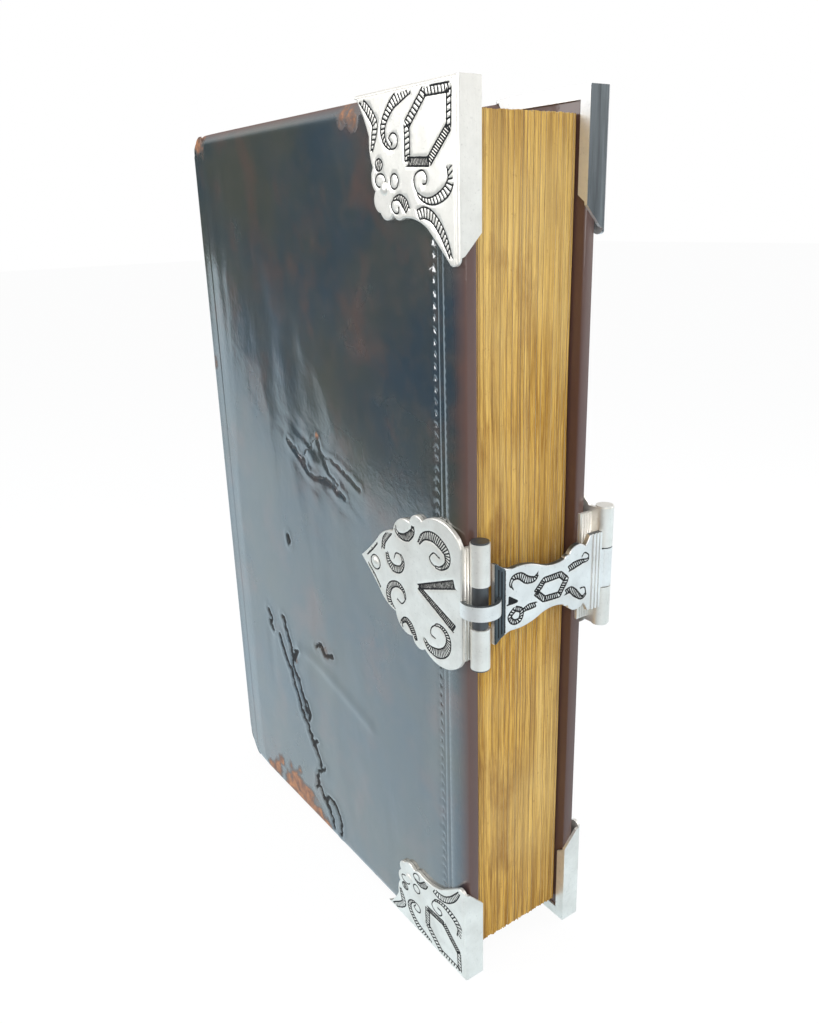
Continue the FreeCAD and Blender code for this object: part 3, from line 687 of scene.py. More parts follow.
def undulation(points, seed):
    """Soft hollows of the old board and skin, in millimetres."""
    result = []
    for x, z in points:
        broad = noise.noise(Vector((x / 34, z / 46, seed)))
        ripple = noise.noise(Vector((x / 6, z / 55, seed + 5)))
        near_spine = math.exp(-max(0.0, x - cover_left - 6) / 14)
        fine = noise.noise(Vector((x / 5, z / 7, seed + 9)))
        settled = min(1.0, max(0.0, (x - cover_left - 5) / 6))
        rippled = (RIPPLE + SPINE_RIPPLE * near_spine) * ripple
        result.append(settled * (HOLLOW * broad + rippled + SMALL * fine))
    return np.array(result)


def wear_at(points, patches):
    """How worn the leather is at each point, from no wear at 0 to bare at 1 and above."""
    result = np.zeros(len(points))
    for x, z, radius, strength in patches:
        away = np.hypot(points[:, 0] - x, points[:, 1] - z) / radius
        result = np.maximum(result, strength * np.clip(1.35 - away, 0, 1))
    return result


# Where the leather is rounded over at the fore edge, head and tail and at the joint, and how far
# the cover falls toward the joint
EDGE_ROUND = 0.9
JOINT_ROUND = 1.8
ROLL_DROP, ROLL_WIDTH = 0.6, 14.0


def spine_roll(x):
    """The cover's slow fall toward its joint."""
    return ROLL_DROP * np.clip(1 - (x - cover_left) / ROLL_WIDTH, 0, 1) ** 2


def round_over(away, radius):
    """Drop of a rounded edge at a distance from it."""
    reach = np.clip(radius - away, 0, radius)
    return radius - np.sqrt(np.maximum(radius ** 2 - reach ** 2, 0))


# Inset of the face's outline, and the rings of the turned edge from the outer face to the inner
# one: inset, drop and how far the ring follows the face's height
BORDER_INSET = 0.45
COVER_THICK = cover_outer - cover_inner
EDGE_RINGS = ((0.18, 0.14, 1.0), (0.03, 0.34, 1.0), (0.0, COVER_THICK - 0.75, 0.0),
              (0.0, COVER_THICK - 0.4, 0.0), (0.12, COVER_THICK - 0.1, 0.0),
              (BORDER_INSET, COVER_THICK, 0.0))
# Width of the strokes that the triangles follow, and their spacing on the front and the back
STROKE_WIDTH = 0.34
FINE_SPACING, PLAIN_SPACING = 0.8, 1.3
# Depth and half width of a tool mark, depths of a crack and a tear with the height of the lip
# beside each, and height and half width of the fold
TOOL_DEPTH, TOOL_HALF = 0.16, 0.24
CRACK_DEPTH, CRACK_LIP = 0.36, 0.12
TEAR_DEPTH, TEAR_LIP = 0.14, 0.06
FOLD_HEIGHT, FOLD_HALF = 0.20, 1.5
# How much narrower the bevel is at the head and tail than at the fore edge
END_BEVEL = 0.6


def edge_distance(points):
    """How far each point lies from the fore edge, head and tail. The bevel is narrower at the
    last two."""
    return np.minimum.reduce([cover_right - points[:, 0], (points[:, 1] - cover_tail) / END_BEVEL,
                              (cover_head - points[:, 1]) / END_BEVEL])


def ridge(away, at, width):
    """A soft ridge that stands at a distance from a line."""
    return np.exp(-((away - at) / width) ** 2)


def worn_face(side, points, edge_away):
    """Height of the cover's face before any crack: its bevel, round edges and soft hollows."""
    bevel = np.clip(1 - edge_away / BEVEL_WIDTH, 0, 1)
    bevel = BEVEL_DEPTH * bevel * bevel * (3 - 2 * bevel) * 0.5 + BEVEL_DEPTH * bevel * 0.5
    roll = spine_roll(points[:, 0])
    shoulder = round_over(points[:, 0] - cover_left, JOINT_ROUND)
    shoulder += roll
    for away in (cover_right - points[:, 0], points[:, 1] - cover_tail, cover_head - points[:, 1]):
        shoulder = np.maximum(shoulder, roll + round_over(away, EDGE_ROUND))
    calm = np.clip((edge_away - 3) / 8, 0.0, 1)
    height = -bevel - shoulder + undulation(points, 3.0 * side) * (0.15 + 0.85 * calm)
    return np.minimum(height, -0.02)


def cover_skin(side):
    """One cover's leather as a closed skin, its outer face in relief."""
    name = SIDES[side]
    loop = anticlockwise(cover_loop(BORDER_INSET))
    damaged = side == FRONT
    cracks = [ragged(smooth(line, 0.3), 0.8) for line in CRACKS] if damaged else []
    tears = [ragged(smooth(line, 0.3), 0.6) for line in TEARS] if damaged else []
    tools = tooling()
    points, faces, border = relief(loop, cracks + tears + tools, STROKE_WIDTH,
                                   FINE_SPACING if damaged else PLAIN_SPACING)

    edge_away = edge_distance(points)
    height = worn_face(side, points, edge_away)
    height -= TOOL_DEPTH * np.clip(1 - Reach(tools)(points) / TOOL_HALF, 0, 1)
    crack_away, tear_away = Reach(cracks)(points), Reach(tears)(points)
    wide = np.array([0.30 + 0.75 * abs(noise.noise(Vector((x / 2.2, z / 2.2, 1.0))))
                     for x, z in points])
    height -= CRACK_DEPTH * np.clip(1 - crack_away / wide, 0, 1)
    height += CRACK_LIP * ridge(crack_away, 1.0, 0.6)
    height -= TEAR_DEPTH * np.clip(1 - tear_away / (0.9 * wide), 0, 1)
    height += TEAR_LIP * ridge(tear_away, 0.9, 0.5)
    if damaged:
        height += crumple(points)
        fold_away = Reach([smooth(FOLD, 0.6)])(points)
        height += FOLD_HEIGHT * ridge(fold_away, 0.0, FOLD_HALF)

    top = np.column_stack([points[:, 0], side * (cover_outer + height), points[:, 1]])
    patches = WEAR if damaged else WEAR[:2]
    vertices, wear = [top], [wear_at(points, patches)]
    edge_tone = [np.clip(1 - edge_away / 2.2, 0, 1)]
    # Painted shade for the cracks and tears, which the leather material turns near black.
    cut = [np.maximum(np.clip(1.25 - crack_away / (1.4 * wide), 0, 1),
                      np.clip(0.95 - tear_away / wide, 0, 0.62))]
    faces, count, above = [tuple(face) for face in faces], len(top), border
    for inset, drop, follow in EDGE_RINGS:
        ring = inset_loop(loop, inset - BORDER_INSET)
        y = side * (np.full(len(ring), cover_outer - drop) + follow * height[border])
        vertices.append(np.column_stack([ring[:, 0], y, ring[:, 1]]))
        wear.append(wear_at(ring, patches))
        edge_tone.append(np.ones(len(ring)))
        cut.append(np.zeros(len(ring)))
        below = list(range(count, count + len(ring)))
        faces += [(above[k], above[(k + 1) % len(ring)], below[(k + 1) % len(ring)], below[k])
                  for k in range(len(ring))]
        count += len(ring)
        above = below
    inner, inner_faces = inner_face(side, vertices[-1])
    shift, extra = count - len(above), len(inner) - len(above)
    vertices.append(inner[len(above):])
    faces += [tuple(shift + index for index in face) for face in inner_faces]
    skin = make_object(f"{name}_cover_skin", np.vstack(vertices), faces, LEATHER)
    add_attribute(skin, "wear", np.concatenate(wear + [np.zeros(extra)]))
    add_attribute(skin, "edge", np.concatenate(edge_tone + [np.full(extra, 0.8)]))
    add_attribute(skin, "crack", np.concatenate(cut + [np.zeros(extra)]))
    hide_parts(f"{name}_leather")
    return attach(skin, f"{name}_cover")


# The board's outline from its inner face up: inset, and height over the cover's inner face
BOARD_LEVELS = ((1.6, 0.35), (0.9, 0.60), (0.9, 1.1), (3.4, 1.75))


def board_core(side):
    """The board inside the skin, with its arrises planed off."""
    name = SIDES[side]
    outline = anticlockwise(cover_loop(0.0, 2.0))
    points = [(x, side * (cover_inner + up), z) for inset, up in BOARD_LEVELS
              for x, z in inset_loop(outline, inset)]
    core = make_object(f"{name}_board_core", points, tube_faces(len(outline), len(BOARD_LEVELS)),
                       BOARD, shade=False)
    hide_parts(f"{name}_board")
    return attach(core, f"{name}_cover")


# How far the floor under the paper lies below the turn-ins
FLOOR_DEPTH = 0.03


def inner_face(side, ring):
    """The turn-ins, and a floor under the paper that lies just below them."""
    y = side * cover_inner
    flat = ring[:, [0, 2]]
    left, right = cover_left + TURN_IN, cover_right - TURN_IN
    low, high = cover_tail + TURN_IN, cover_head - TURN_IN
    window = np.array([(left, low), (right, low), (right, high), (left, high)])
    sunk = inset_rectangle(window, 0.4)
    points = list(flat) + list(window) + list(sunk)
    n = len(flat)
    edges = [(k, (k + 1) % n) for k in range(n)]
    edges += [(n + k, n + (k + 1) % 4) for k in range(4)]
    edges += [(n + 4 + k, n + 4 + (k + 1) % 4) for k in range(4)]
    flat_points = [Vector((p[0], p[1])) for p in points]
    _, _, faces, sources, _, _ = delaunay_2d_cdt(flat_points, edges, [], 1, 1e-4)
    order = {}
    for index, source in enumerate(sources):
        for number in source:
            order[index] = number
    result = np.zeros((len(points), 3))
    result[:n] = ring
    for k, p in enumerate(points[n:], start=n):
        deep = side * FLOOR_DEPTH if k >= n + 4 else 0.0
        result[k] = (p[0], y + deep, p[1])
    return result, [tuple(order[index] for index in face) for face in faces]


def inset_rectangle(corners, amount):
    """The rectangle with all four sides moved inwards."""
    middle = corners.mean(axis=0)
    return corners - np.sign(corners - middle) * amount


# Engraved silver skins

def engraved_skin(name, loop, strokes, place, material, body, painted_shade=None):
    """The engraved face of a silver plate: a thin skin over the CAD plate's flat."""
    loop = fine_loop(anticlockwise(loop))
    closed = np.vstack([loop, loop[:1]])
    strokes = trimmed(strokes, loop, 0.45)
    rims = [inset_loop(loop, away) for away in (0.14, 0.36)]
    rims = [np.vstack([rim, rim[:1]]) for rim in rims]
    points, faces, border = relief(loop, strokes + rims, GROOVE, 0.7)
    away = Reach(strokes)(points)
    cut = np.clip(1 - away / (GROOVE / 2), 0, 1)
    rise = np.clip(Reach([closed])(points) / 0.42, 0, 1)
    height = (SKIN + 0.03) * np.sqrt(1 - (1 - rise) ** 2) - 0.03 - GROOVE_DEPTH * cut
    dents = np.array([noise.noise(Vector((p[0] / 4, p[1] / 4, 2.0))) for p in points])
    height += 0.02 * dents * rise
    top = place(points, height)
    foot = place(points[border], np.full(len(border), -0.06))
    count, n = len(top), len(border)
    ring = list(range(count, count + n))
    sides = [(border[k], border[(k + 1) % n], ring[(k + 1) % n], ring[k]) for k in range(n)]
    flat = [Vector((p[0], p[1])) for p in points[border]]
    floor = delaunay_2d_cdt(flat, [(k, (k + 1) % n) for k in range(n)], [], 1, 1e-5)
    order = {index: source[0] for index, source in enumerate(floor[3]) if source}
    under = [tuple(ring[order[index]] for index in face) for face in floor[2]]
    skin = make_object(name, np.vstack([top, foot]), [tuple(f) for f in faces] + sides + under,
                       material)
    add_attribute(skin, "cut", cut)
    if painted_shade:
        add_attribute(skin, "painted_shade", painted_shade(points))
    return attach(skin, body)


def trimmed(strokes, loop, margin):
    """The longest stretch of each stroke that stays inside the loop by the margin."""
    joined = np.vstack(strokes)
    keep = inside(joined, loop) & (Reach([np.vstack([loop, loop[:1]])])(joined) > margin)
    result, seen = [], 0
    for stroke in strokes:
        best, run = [], []
        for point, good in zip(stroke, keep[seen:seen + len(stroke)]):
            run = run + [point] if good else []
            if len(run) > len(best):
                best = run
        seen += len(stroke)
        if len(best) > 1:
            result.append(np.array(best))
    return result


# Engraving of a corner mount: u runs from the fore edge towards the spine and v from the head or
# tail towards the middle, in millimetres on a mount that reaches CORNER_REACH
CORNER_REACH = 25.5
CORNER_BANDS = (
    # Narrow leaf along the inner edge
    (((25.2, 0.6), (23.7, 1.6), (21.8, 3.2), (20.7, 4.7), (21.0, 6.2), (21.8, 8.4)),
     (0.5, 1.2, 1.4, 1.4, 1.2, 0.5), 0.75),
    # Long scroll from the head
    (((11.1, 0.7), (13.2, 1.2), (15.6, 2.2), (17.4, 3.7), (18.4, 5.1), (18.5, 6.5), (17.7, 7.8),
      (16.1, 8.6), (14.8, 8.1), (14.8, 6.8), (15.9, 6.3), (16.9, 6.9), (16.4, 7.6)),
     (1.3, 1.7, 1.8, 1.5, 1.3, 1.2, 1.1, 0.7, 0.3, 0.2, 0.2, 0.2, 0.2), 0.7),
    # Scroll that closes in the middle
    (((1.9, 11.9), (1.5, 13.5), (2.5, 15.0), (4.6, 16.0), (7.0, 16.3), (9.1, 15.6), (10.3, 14.2),
      (10.5, 13.0), (9.7, 12.2), (8.2, 12.0), (7.3, 12.9), (7.5, 13.8), (8.3, 13.9)),
     (0.9, 1.4, 1.6, 1.5, 1.3, 0.9, 0.6, 0.3, 0.2, 0.2, 0.2, 0.2, 0.2), 0.75),
    # Small scroll over the lobes
    (((12.4, 17.5), (13.2, 16.4), (14.6, 15.6), (16.2, 15.9), (16.8, 16.8), (15.9, 17.8),
      (14.9, 17.8), (14.8, 17.0)),
     (1.2, 1.5, 1.1, 0.5, 0.2, 0.2, 0.2, 0.2), 0.5),
    # Tapering leaf that runs down to the point
    (((9.8, 18.2), (8.1, 17.9), (6.0, 18.6), (4.1, 20.3), (2.7, 22.3), (1.7, 24.2)),
     (1.5, 1.6, 1.4, 1.3, 1.1, 0.6), 0.75),
)
# Six-sided panel, one side after the other, with the band's width and the distance of its rungs
CORNER_PANEL = (
    ((7.6, 1.5), (12.1, 5.5), 1.4, 0.75),
    ((12.1, 5.5), (12.1, 10.5), 1.3, 0.8),
    ((12.1, 10.6), (6.7, 10.9), 1.2, 0.38),
    ((6.7, 10.9), (1.9, 6.6), 1.3, 0.45),
    ((1.9, 6.6), (1.7, 1.7), 1.0, 0.9),
    ((1.7, 1.6), (7.6, 1.5), 1.2, 0.8),
)


def corner_engraving():
    """Strokes of a corner mount: its bands, its panel and three small rings, one of them hatched."""
    strokes = []
    for points, widths, rung in CORNER_BANDS:
        strokes += ladder(points, widths, rung)
    for start, end, width, rung in CORNER_PANEL:
        strokes += ladder((start, end), width, rung, curved=False)
    strokes.append(oval((20.0, 10.6), 1.0, 0.9))
    strokes += [oval((19.7, 12.9), 1.4, 1.0), oval((15.8, 13.2), 1.1, 1.1)]
    strokes += [straight([(20.0 + shift - 0.3, 10.0), (20.0 + shift + 0.3, 11.2)], 0.3)
                for shift in (-0.45, 0.0, 0.45)]
    return strokes


def on_cover(side):
    """How a flat skin's points and heights go onto the silver face of one cover."""
    def place(points, height):
        return np.column_stack([points[:, 0], side * (mount_face + height), points[:, 1]])

    return place


def corner_finish(side, end):
    """Material and slot of a corner mount. The back cover's head mount has painted shade on its faces
    towards the fore edge.
    """
    return (SIDE_SHADED_SILVER, "dark_silver") if (side, end) == (BACK, "head") else (BRIGHT, "silver")


def corner_skin(side, end):
    """The engraved face of a corner mount."""
    node = f"{SIDES[side]}_{end}_corner"
    low, high = box_mm(node)
    reach = high[2] - low[2]
    stretch = reach / CORNER_REACH
    top, way = (book_head, -1) if end == "head" else (0.0, 1)
    strokes = []
    for stroke in corner_engraving():
        strokes.append(np.column_stack([fore_outer - stroke[:, 0],
                                        top + way * stroke[:, 1] * stretch]))
    loop = face_loop(node, 1, side * mount_face)
    material, slot = corner_finish(side, end)
    return engraved_skin(f"{node}_face", loop, strokes, on_cover(side), material,
                         f"{SIDES[side]}_cover")


# Engraving of a leaf plate: u from the fore edge and w up from the middle of the clasp
PLATE_BANDS = (
    # Two narrow leaves at the point
    (((28.9, 0.9), (27.3, 2.5), (25.4, 4.3)), (0.5, 1.0, 0.9), 0.45),
    (((28.7, -1.2), (26.9, -2.9), (24.9, -4.9)), (0.5, 1.1, 0.9), 0.4),
    # Upper edge, from the point to the fore edge
    (((23.2, 3.7), (22.6, 5.5), (20.5, 7.6)), (0.8, 1.1, 0.9), 0.5),
    (((17.5, 9.8), (18.7, 9.4), (18.8, 8.4), (17.5, 7.7), (15.4, 8.0), (13.7, 9.4), (13.5, 10.5)),
     (0.2, 0.3, 0.6, 1.1, 1.5, 1.3, 0.6), 0.4),
    (((11.8, 8.0), (10.3, 9.6), (7.8, 10.2), (5.4, 9.5), (3.8, 8.2), (3.9, 6.4), (5.8, 5.1),
      (7.8, 5.2), (8.7, 6.2), (7.5, 7.4), (6.1, 7.0)),
     (0.6, 1.2, 1.6, 1.8, 1.7, 1.4, 0.8, 0.4, 0.2, 0.2, 0.2), 0.5),
    # Two curls in the middle
    (((22.0, 3.1), (21.4, 1.6), (19.8, 0.7), (17.7, 1.2), (16.8, 2.7), (17.5, 3.9), (19.0, 3.9),
      (19.6, 2.9)), (0.7, 1.1, 1.4, 1.3, 0.9, 0.4, 0.2, 0.2), 0.5),
    (((19.8, -8.0), (21.4, -6.8), (22.0, -5.0), (21.0, -3.1), (18.8, -2.2), (17.0, -2.9),
      (16.5, -4.4), (17.6, -5.6), (18.8, -5.3)),
     (0.5, 1.1, 1.3, 1.3, 1.1, 0.9, 0.4, 0.2, 0.2), 0.5),
    # Lower edge
    (((16.1, -10.0), (17.5, -10.5), (17.9, -9.5), (16.6, -8.5), (15.2, -9.0), (13.9, -10.5),
      (13.3, -11.4)), (0.2, 0.3, 0.6, 1.0, 1.3, 1.2, 0.6), 0.4),
    (((10.8, -10.2), (9.3, -11.3), (6.6, -11.3), (4.4, -9.9), (3.7, -7.8), (4.6, -6.3),
      (6.6, -5.8), (8.5, -6.9), (8.8, -8.3), (7.5, -8.7)),
     (0.5, 1.2, 1.7, 1.7, 1.5, 1.0, 0.6, 0.3, 0.2, 0.2), 0.5),
)
# The wedge that points at the leaf's middle
PLATE_WEDGE = (((12.2, -0.4), (2.0, 3.4)), ((12.2, -0.5), (2.0, -4.8)))


def plate_engraving():
    """Strokes of a leaf plate: its bands, the wedge and the ring at the point."""
    strokes = []
    for points, widths, rung in PLATE_BANDS:
        strokes += ladder(points, widths, rung)
    for arm in PLATE_WEDGE:
        strokes += ladder(arm, (0.8, 1.5), 0.36, curved=False)
    strokes.append(oval((26.0, 0.0), 1.55, 1.4))
    return strokes


def plate_skin(side):
    """The engraved face of a leaf plate, as far as the fore edge."""
    node = f"{SIDES[side]}_clasp_plate"
    loop = face_loop(node, 1, side * mount_face)
    loop = loop[loop[:, 0] < fore_outer + 0.01]
    strokes = [np.column_stack([fore_outer - s[:, 0], clasp_z + s[:, 1]])
               for s in plate_engraving()]
    return engraved_skin(f"{node}_face", loop, strokes, on_cover(side), BRIGHT,
                         f"{SIDES[side]}_cover")


# Engraving of the strap: a from its hook end and w up from its middle
STRAP_BANDS = (
    (((3.9, 2.0), (3.4, 2.9), (4.0, 3.9), (5.5, 3.9), (7.1, 2.8), (8.7, 2.5), (9.5, 3.1)),
     (0.2, 0.5, 0.9, 1.2, 1.3, 1.0, 0.4), 0.5),
    (((4.5, -1.8), (5.9, -2.6), (5.6, -4.1), (4.1, -4.2), (3.3, -3.0), (4.4, -1.9)), 0.8, 0.5),
    (((6.2, -2.7), (7.6, -2.4), (9.2, -2.4)), (0.5, 1.0, 0.8), 0.45),
    (((2.9, 0.0), (3.9, -0.3), (5.0, -0.6)), (1.5, 0.8, 0.2), 0.3),
    (((16.9, 2.2), (18.5, 2.6), (20.2, 2.8), (21.5, 2.8), (21.8, 3.6), (20.8, 4.3), (20.2, 3.8)),
     (0.9, 1.2, 1.0, 0.6, 0.3, 0.2, 0.2), 0.45),
    (((16.3, -2.1), (17.6, -2.0), (18.9, -3.1), (20.3, -4.2), (21.3, -3.8), (21.1, -2.5),
      (20.2, -2.3)), (0.8, 1.1, 1.2, 0.8, 0.4, 0.2, 0.2), 0.45),
)
STRAP_PANEL = ((9.2, -0.2), (11.1, 1.6), (14.9, 1.7), (16.4, 0.4), (14.7, -2.1), (11.1, -1.9),
               (9.2, -0.2))
# Upright lines beside the hook, and how far they reach from the middle
STRAP_LINES = (0.8, 1.5, 2.2)
STRAP_HALF = 6.6


def strap_engraving():
    """Strokes of the strap: the upright lines, its bands and the panel in its middle."""
    strokes = [straight([(a, -STRAP_HALF), (a, STRAP_HALF)], 0.5) for a in STRAP_LINES]
    for points, widths, rung in STRAP_BANDS:
        strokes += ladder(points, widths, rung)
    strokes += ladder(STRAP_PANEL, 1.0, 0.45, curved=False)
    return strokes


def strap_skin():
    """The engraved face of the strap, with painted shade beside the hook."""
    plane = float(np.median([p[0] for p in strap_plane_points()]))
    loop = face_loop("clasp_strap", 0, plane)
    first = loop[:, 0].min()
    strokes = [np.column_stack([first + s[:, 0], clasp_z + s[:, 1]]) for s in strap_engraving()]

    def place(points, height):
        return np.column_stack([plane + height, points[:, 0], points[:, 1]])

    # Painted shade on the strap's end beside the hook.
    def painted_shade(points):
        return np.clip((first + STRAP_LINES[-1] + 0.1 - points[:, 0]) / 0.2, 0, 1)

    return engraved_skin("clasp_strap_face", loop, strokes, place, STRAP_SILVER, "clasp",
                         painted_shade)


def strap_plane_points():
    """Corners of the strap's largest flat that faces away from the leaves."""
    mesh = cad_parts["clasp_strap"].data
    planes = {}
    for polygon in mesh.polygons:
        if polygon.normal.x > 0.99:
            x = round(polygon.center.x / MM, 2)
            planes.setdefault(x, [0.0, []])
            planes[x][0] += polygon.area
            planes[x][1] += [mesh.vertices[i].co / MM for i in polygon.vertices]
    return max(planes.values(), key=lambda entry: entry[0])[1]


# Repeated pieces by Geometry Nodes

def new_tree(name, sockets):
    """A Geometry Nodes tree with named inputs, and its two end nodes."""
    tree = bpy.data.node_groups.new(name, "GeometryNodeTree")
    tree.interface.new_socket("Geometry", in_out="INPUT", socket_type="NodeSocketGeometry")
    for label, kind in sockets:
        tree.interface.new_socket(label, in_out="INPUT", socket_type=kind)
    tree.interface.new_socket("Geometry", in_out="OUTPUT", socket_type="NodeSocketGeometry")
    return tree, tree.nodes.new("NodeGroupInput"), tree.nodes.new("NodeGroupOutput")


def dress_tree(tree, out, shape, material):
    """Ends a tree: gives its shape a material and hands it out."""
    dressed = put(tree, "GeometryNodeSetMaterial", {"Geometry": shape.outputs[0],
                                                    "Material": material})
    tree.links.new(dressed.outputs[0], out.inputs[0])


def run_tree(name, tree, values, start=None):
    """Runs the tree on a mesh with the start points and keeps the result as a plain mesh."""
    mesh = bpy.data.meshes.new(f"{name}_points")
    mesh.from_pydata([tuple(np.array(p) * MM) for p in (start or [(0, 0, 0)])], [], [])
    carrier = bpy.data.objects.new(f"{name}_carrier", mesh)
    bpy.context.scene.collection.objects.link(carrier)
    modifier = carrier.modifiers.new("build", "NODES")
    modifier.node_group = tree
    for item in tree.interface.items_tree:
        if item.in_out == "INPUT" and item.name in values:
            modifier[item.identifier] = values[item.name]
    graph = bpy.context.evaluated_depsgraph_get()
    result = bpy.data.meshes.new_from_object(carrier.evaluated_get(graph))
    result.name = name
    bpy.data.objects.remove(carrier)
    built = bpy.data.objects.new(name, result)
    bpy.context.scene.collection.objects.link(built)
    return built


def leaf_tree():
    """Leaves in a row: thin boxes, each a little longer, shorter or further out than the next."""
    tree, given, out = new_tree("leaf_stack", [
        ("Count", "NodeSocketInt"), ("Pitch", "NodeSocketFloat"), ("Leaf", "NodeSocketVector"),
        ("Uneven", "NodeSocketVector"), ("Wave", "NodeSocketFloat"), ("Paper", "NodeSocketMaterial")])
    step = put(tree, "ShaderNodeCombineXYZ", {"Y": given.outputs["Pitch"]})
    row = put(tree, "GeometryNodeMeshLine", {"Count": given.outputs["Count"],
                                             "Offset": step.outputs[0]}, mode="OFFSET")
    back = put(tree, "ShaderNodeVectorMath", {0: given.outputs["Uneven"], 1: (-1.0, -1.0, -1.0)},
               operation="MULTIPLY")
    jitter = put(tree, "FunctionNodeRandomValue", {"Seed": 4}, data_type="FLOAT_VECTOR")
    tree.links.new(back.outputs[0], jitter.inputs[0])
    tree.links.new(given.outputs["Uneven"], jitter.inputs[1])
    moved = put(tree, "GeometryNodeSetPosition", {"Geometry": row.outputs[0],
                                                  "Offset": jitter.outputs[0]})
    leaf = put(tree, "GeometryNodeMeshCube", {"Size": given.outputs["Leaf"], "Vertices X": 4,
                                              "Vertices Y": 2, "Vertices Z": 26})
    placed = put(tree, "GeometryNodeInstanceOnPoints", {"Points": moved.outputs[0],
                                                        "Instance": leaf.outputs["Mesh"]})
    tone = put(tree, "FunctionNodeRandomValue", {"Seed": 11}, data_type="FLOAT")
    toned = put(tree, "GeometryNodeStoreNamedAttribute",
                {"Geometry": placed.outputs[0], "Name": "tone"}, data_type="FLOAT",
                domain="INSTANCE")
    tree.links.new(tone.outputs[1], toned.inputs["Value"])
    whole = put(tree, "GeometryNodeRealizeInstances", {"Geometry": toned.outputs[0]})
    ripple = put(tree, "ShaderNodeTexNoise", {"Scale": 26.0, "Detail": 1.0})
    spread = put(tree, "ShaderNodeMath", {0: ripple.outputs["Fac"], 1: 0.5}, operation="SUBTRACT")
    amount = put(tree, "ShaderNodeMath", {0: spread.outputs[0], 1: given.outputs["Wave"]},
                 operation="MULTIPLY")
    sway = put(tree, "ShaderNodeCombineXYZ", {"Y": amount.outputs[0], "X": amount.outputs[0]})
    waved = put(tree, "GeometryNodeSetPosition", {"Geometry": whole.outputs[0],
                                                  "Offset": sway.outputs[0]})
    dress_tree(tree, out, waved, given.outputs["Paper"])
    return tree


# The leaves that show, the gap between two, how far their edges differ and sway, and how far the
# solid core stays behind them
LEAF_COUNT = 96
LEAF_GAP = 0.012
UNEVEN = 0.13
WAVE = 0.35
CORE_INSET = 0.9
# Thickness of the paper inside a cover, and the room beside it
PASTEDOWN, PASTEDOWN_CLEARANCE = 0.3, 0.12
# How far behind the back the separate leaves start
FOLDS_DEPTH = 2.6
# How much thinner the core is on each side, so that the outer leaves cover it, and where that
# begins
CORE_NARROW = 0.6
CORE_FRONT = 3.4
# The rounded back of the leaves: its rise, and how many straight pieces make each half of it
BACK_RISE = 2.4
BACK_PIECES = 12


def leaves():
    """The text block: a solid core with the rounded back, and the leaves that show on its edges."""
    x0, x1 = block_low[0] + FOLDS_DEPTH, block_high[0] - UNEVEN
    z0, z1 = block_low[2] + UNEVEN, block_high[2] - UNEVEN
    half = cover_inner - PASTEDOWN - PASTEDOWN_CLEARANCE
    pitch = 2 * half / LEAF_COUNT
    stack = run_tree("leaf_stack", leaf_tree(), {
        "Count": LEAF_COUNT, "Pitch": pitch * MM,
        "Leaf": tuple(v * MM for v in (x1 - x0, pitch - LEAF_GAP, z1 - z0)),
        "Uneven": tuple(v * MM for v in (UNEVEN, 0.0, UNEVEN)), "Wave": WAVE * MM,
        "Paper": LEAVES})
    stack.data.transform(Matrix.Translation(
        Vector(((x0 + x1) / 2, -half + pitch / 2, (z0 + z1) / 2)) * MM))
    join(stack, block_core(half))
    stack.name = "leaves"
    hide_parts("text_block")
    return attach(stack, "book_block")


def block_core(half):
    """The folded and glued back of the leaves, with its shoulders."""
    shoulder, side_x = block_high[1], block_low[0] + BACK_RISE
    inner, front = half - CORE_NARROW, block_low[0] + CORE_FRONT
    outline = [(block_high[0] - CORE_INSET, -inner), (block_high[0] - CORE_INSET, inner),
               (front, inner), (front - 0.3, half), (side_x + 0.5, half), (side_x, shoulder)]
    outline += [(side_x - BACK_RISE * (1 - (t / BACK_PIECES - 1) ** 2),
                 shoulder * (1 - t / BACK_PIECES)) for t in range(1, 2 * BACK_PIECES)]
    outline += [(side_x, -shoulder), (side_x + 0.5, -half), (front - 0.3, -half),
                (front, -inner)]
    low, high = block_low[2] + CORE_INSET * 0.7, block_high[2] - CORE_INSET * 0.7
    points = [(x, y, low) for x, y in outline] + [(x, y, high) for x, y in outline]
    return make_object("block_core", points, tube_faces(len(outline), 2), LEAVES, shade=False)


def join(target, *others):
    """Adds other meshes to the target's."""
    bpy.ops.object.select_all(action="DESELECT")
    for item in (target, *others):
        item.select_set(True)
    bpy.context.view_layer.objects.active = target
    bpy.ops.object.join()


def rivet_tree():
    """A flattened dome on every point."""
    tree, given, out = new_tree("rivet_domes", [
        ("Radius", "NodeSocketFloat"), ("Squash", "NodeSocketVector"),
        ("Silver", "NodeSocketMaterial")])
    dome = put(tree, "GeometryNodeMeshUVSphere", {"Segments": 20, "Rings": 10,
                                                  "Radius": given.outputs["Radius"]})
    placed = put(tree, "GeometryNodeInstanceOnPoints",
                 {"Points": given.outputs["Geometry"], "Instance": dome.outputs["Mesh"],
                  "Scale": given.outputs["Squash"]})
    whole = put(tree, "GeometryNodeRealizeInstances", {"Geometry": placed.outputs[0]})
    dress_tree(tree, out, whole, given.outputs["Silver"])
    return tree


# Radius of a rivet's domed head, its height as a share of that, and a length that is shorter than
# the way from one rivet to the next
DOME_RADIUS, DOME_SQUASH = 1.05, 0.42
RIVET_APART = 4


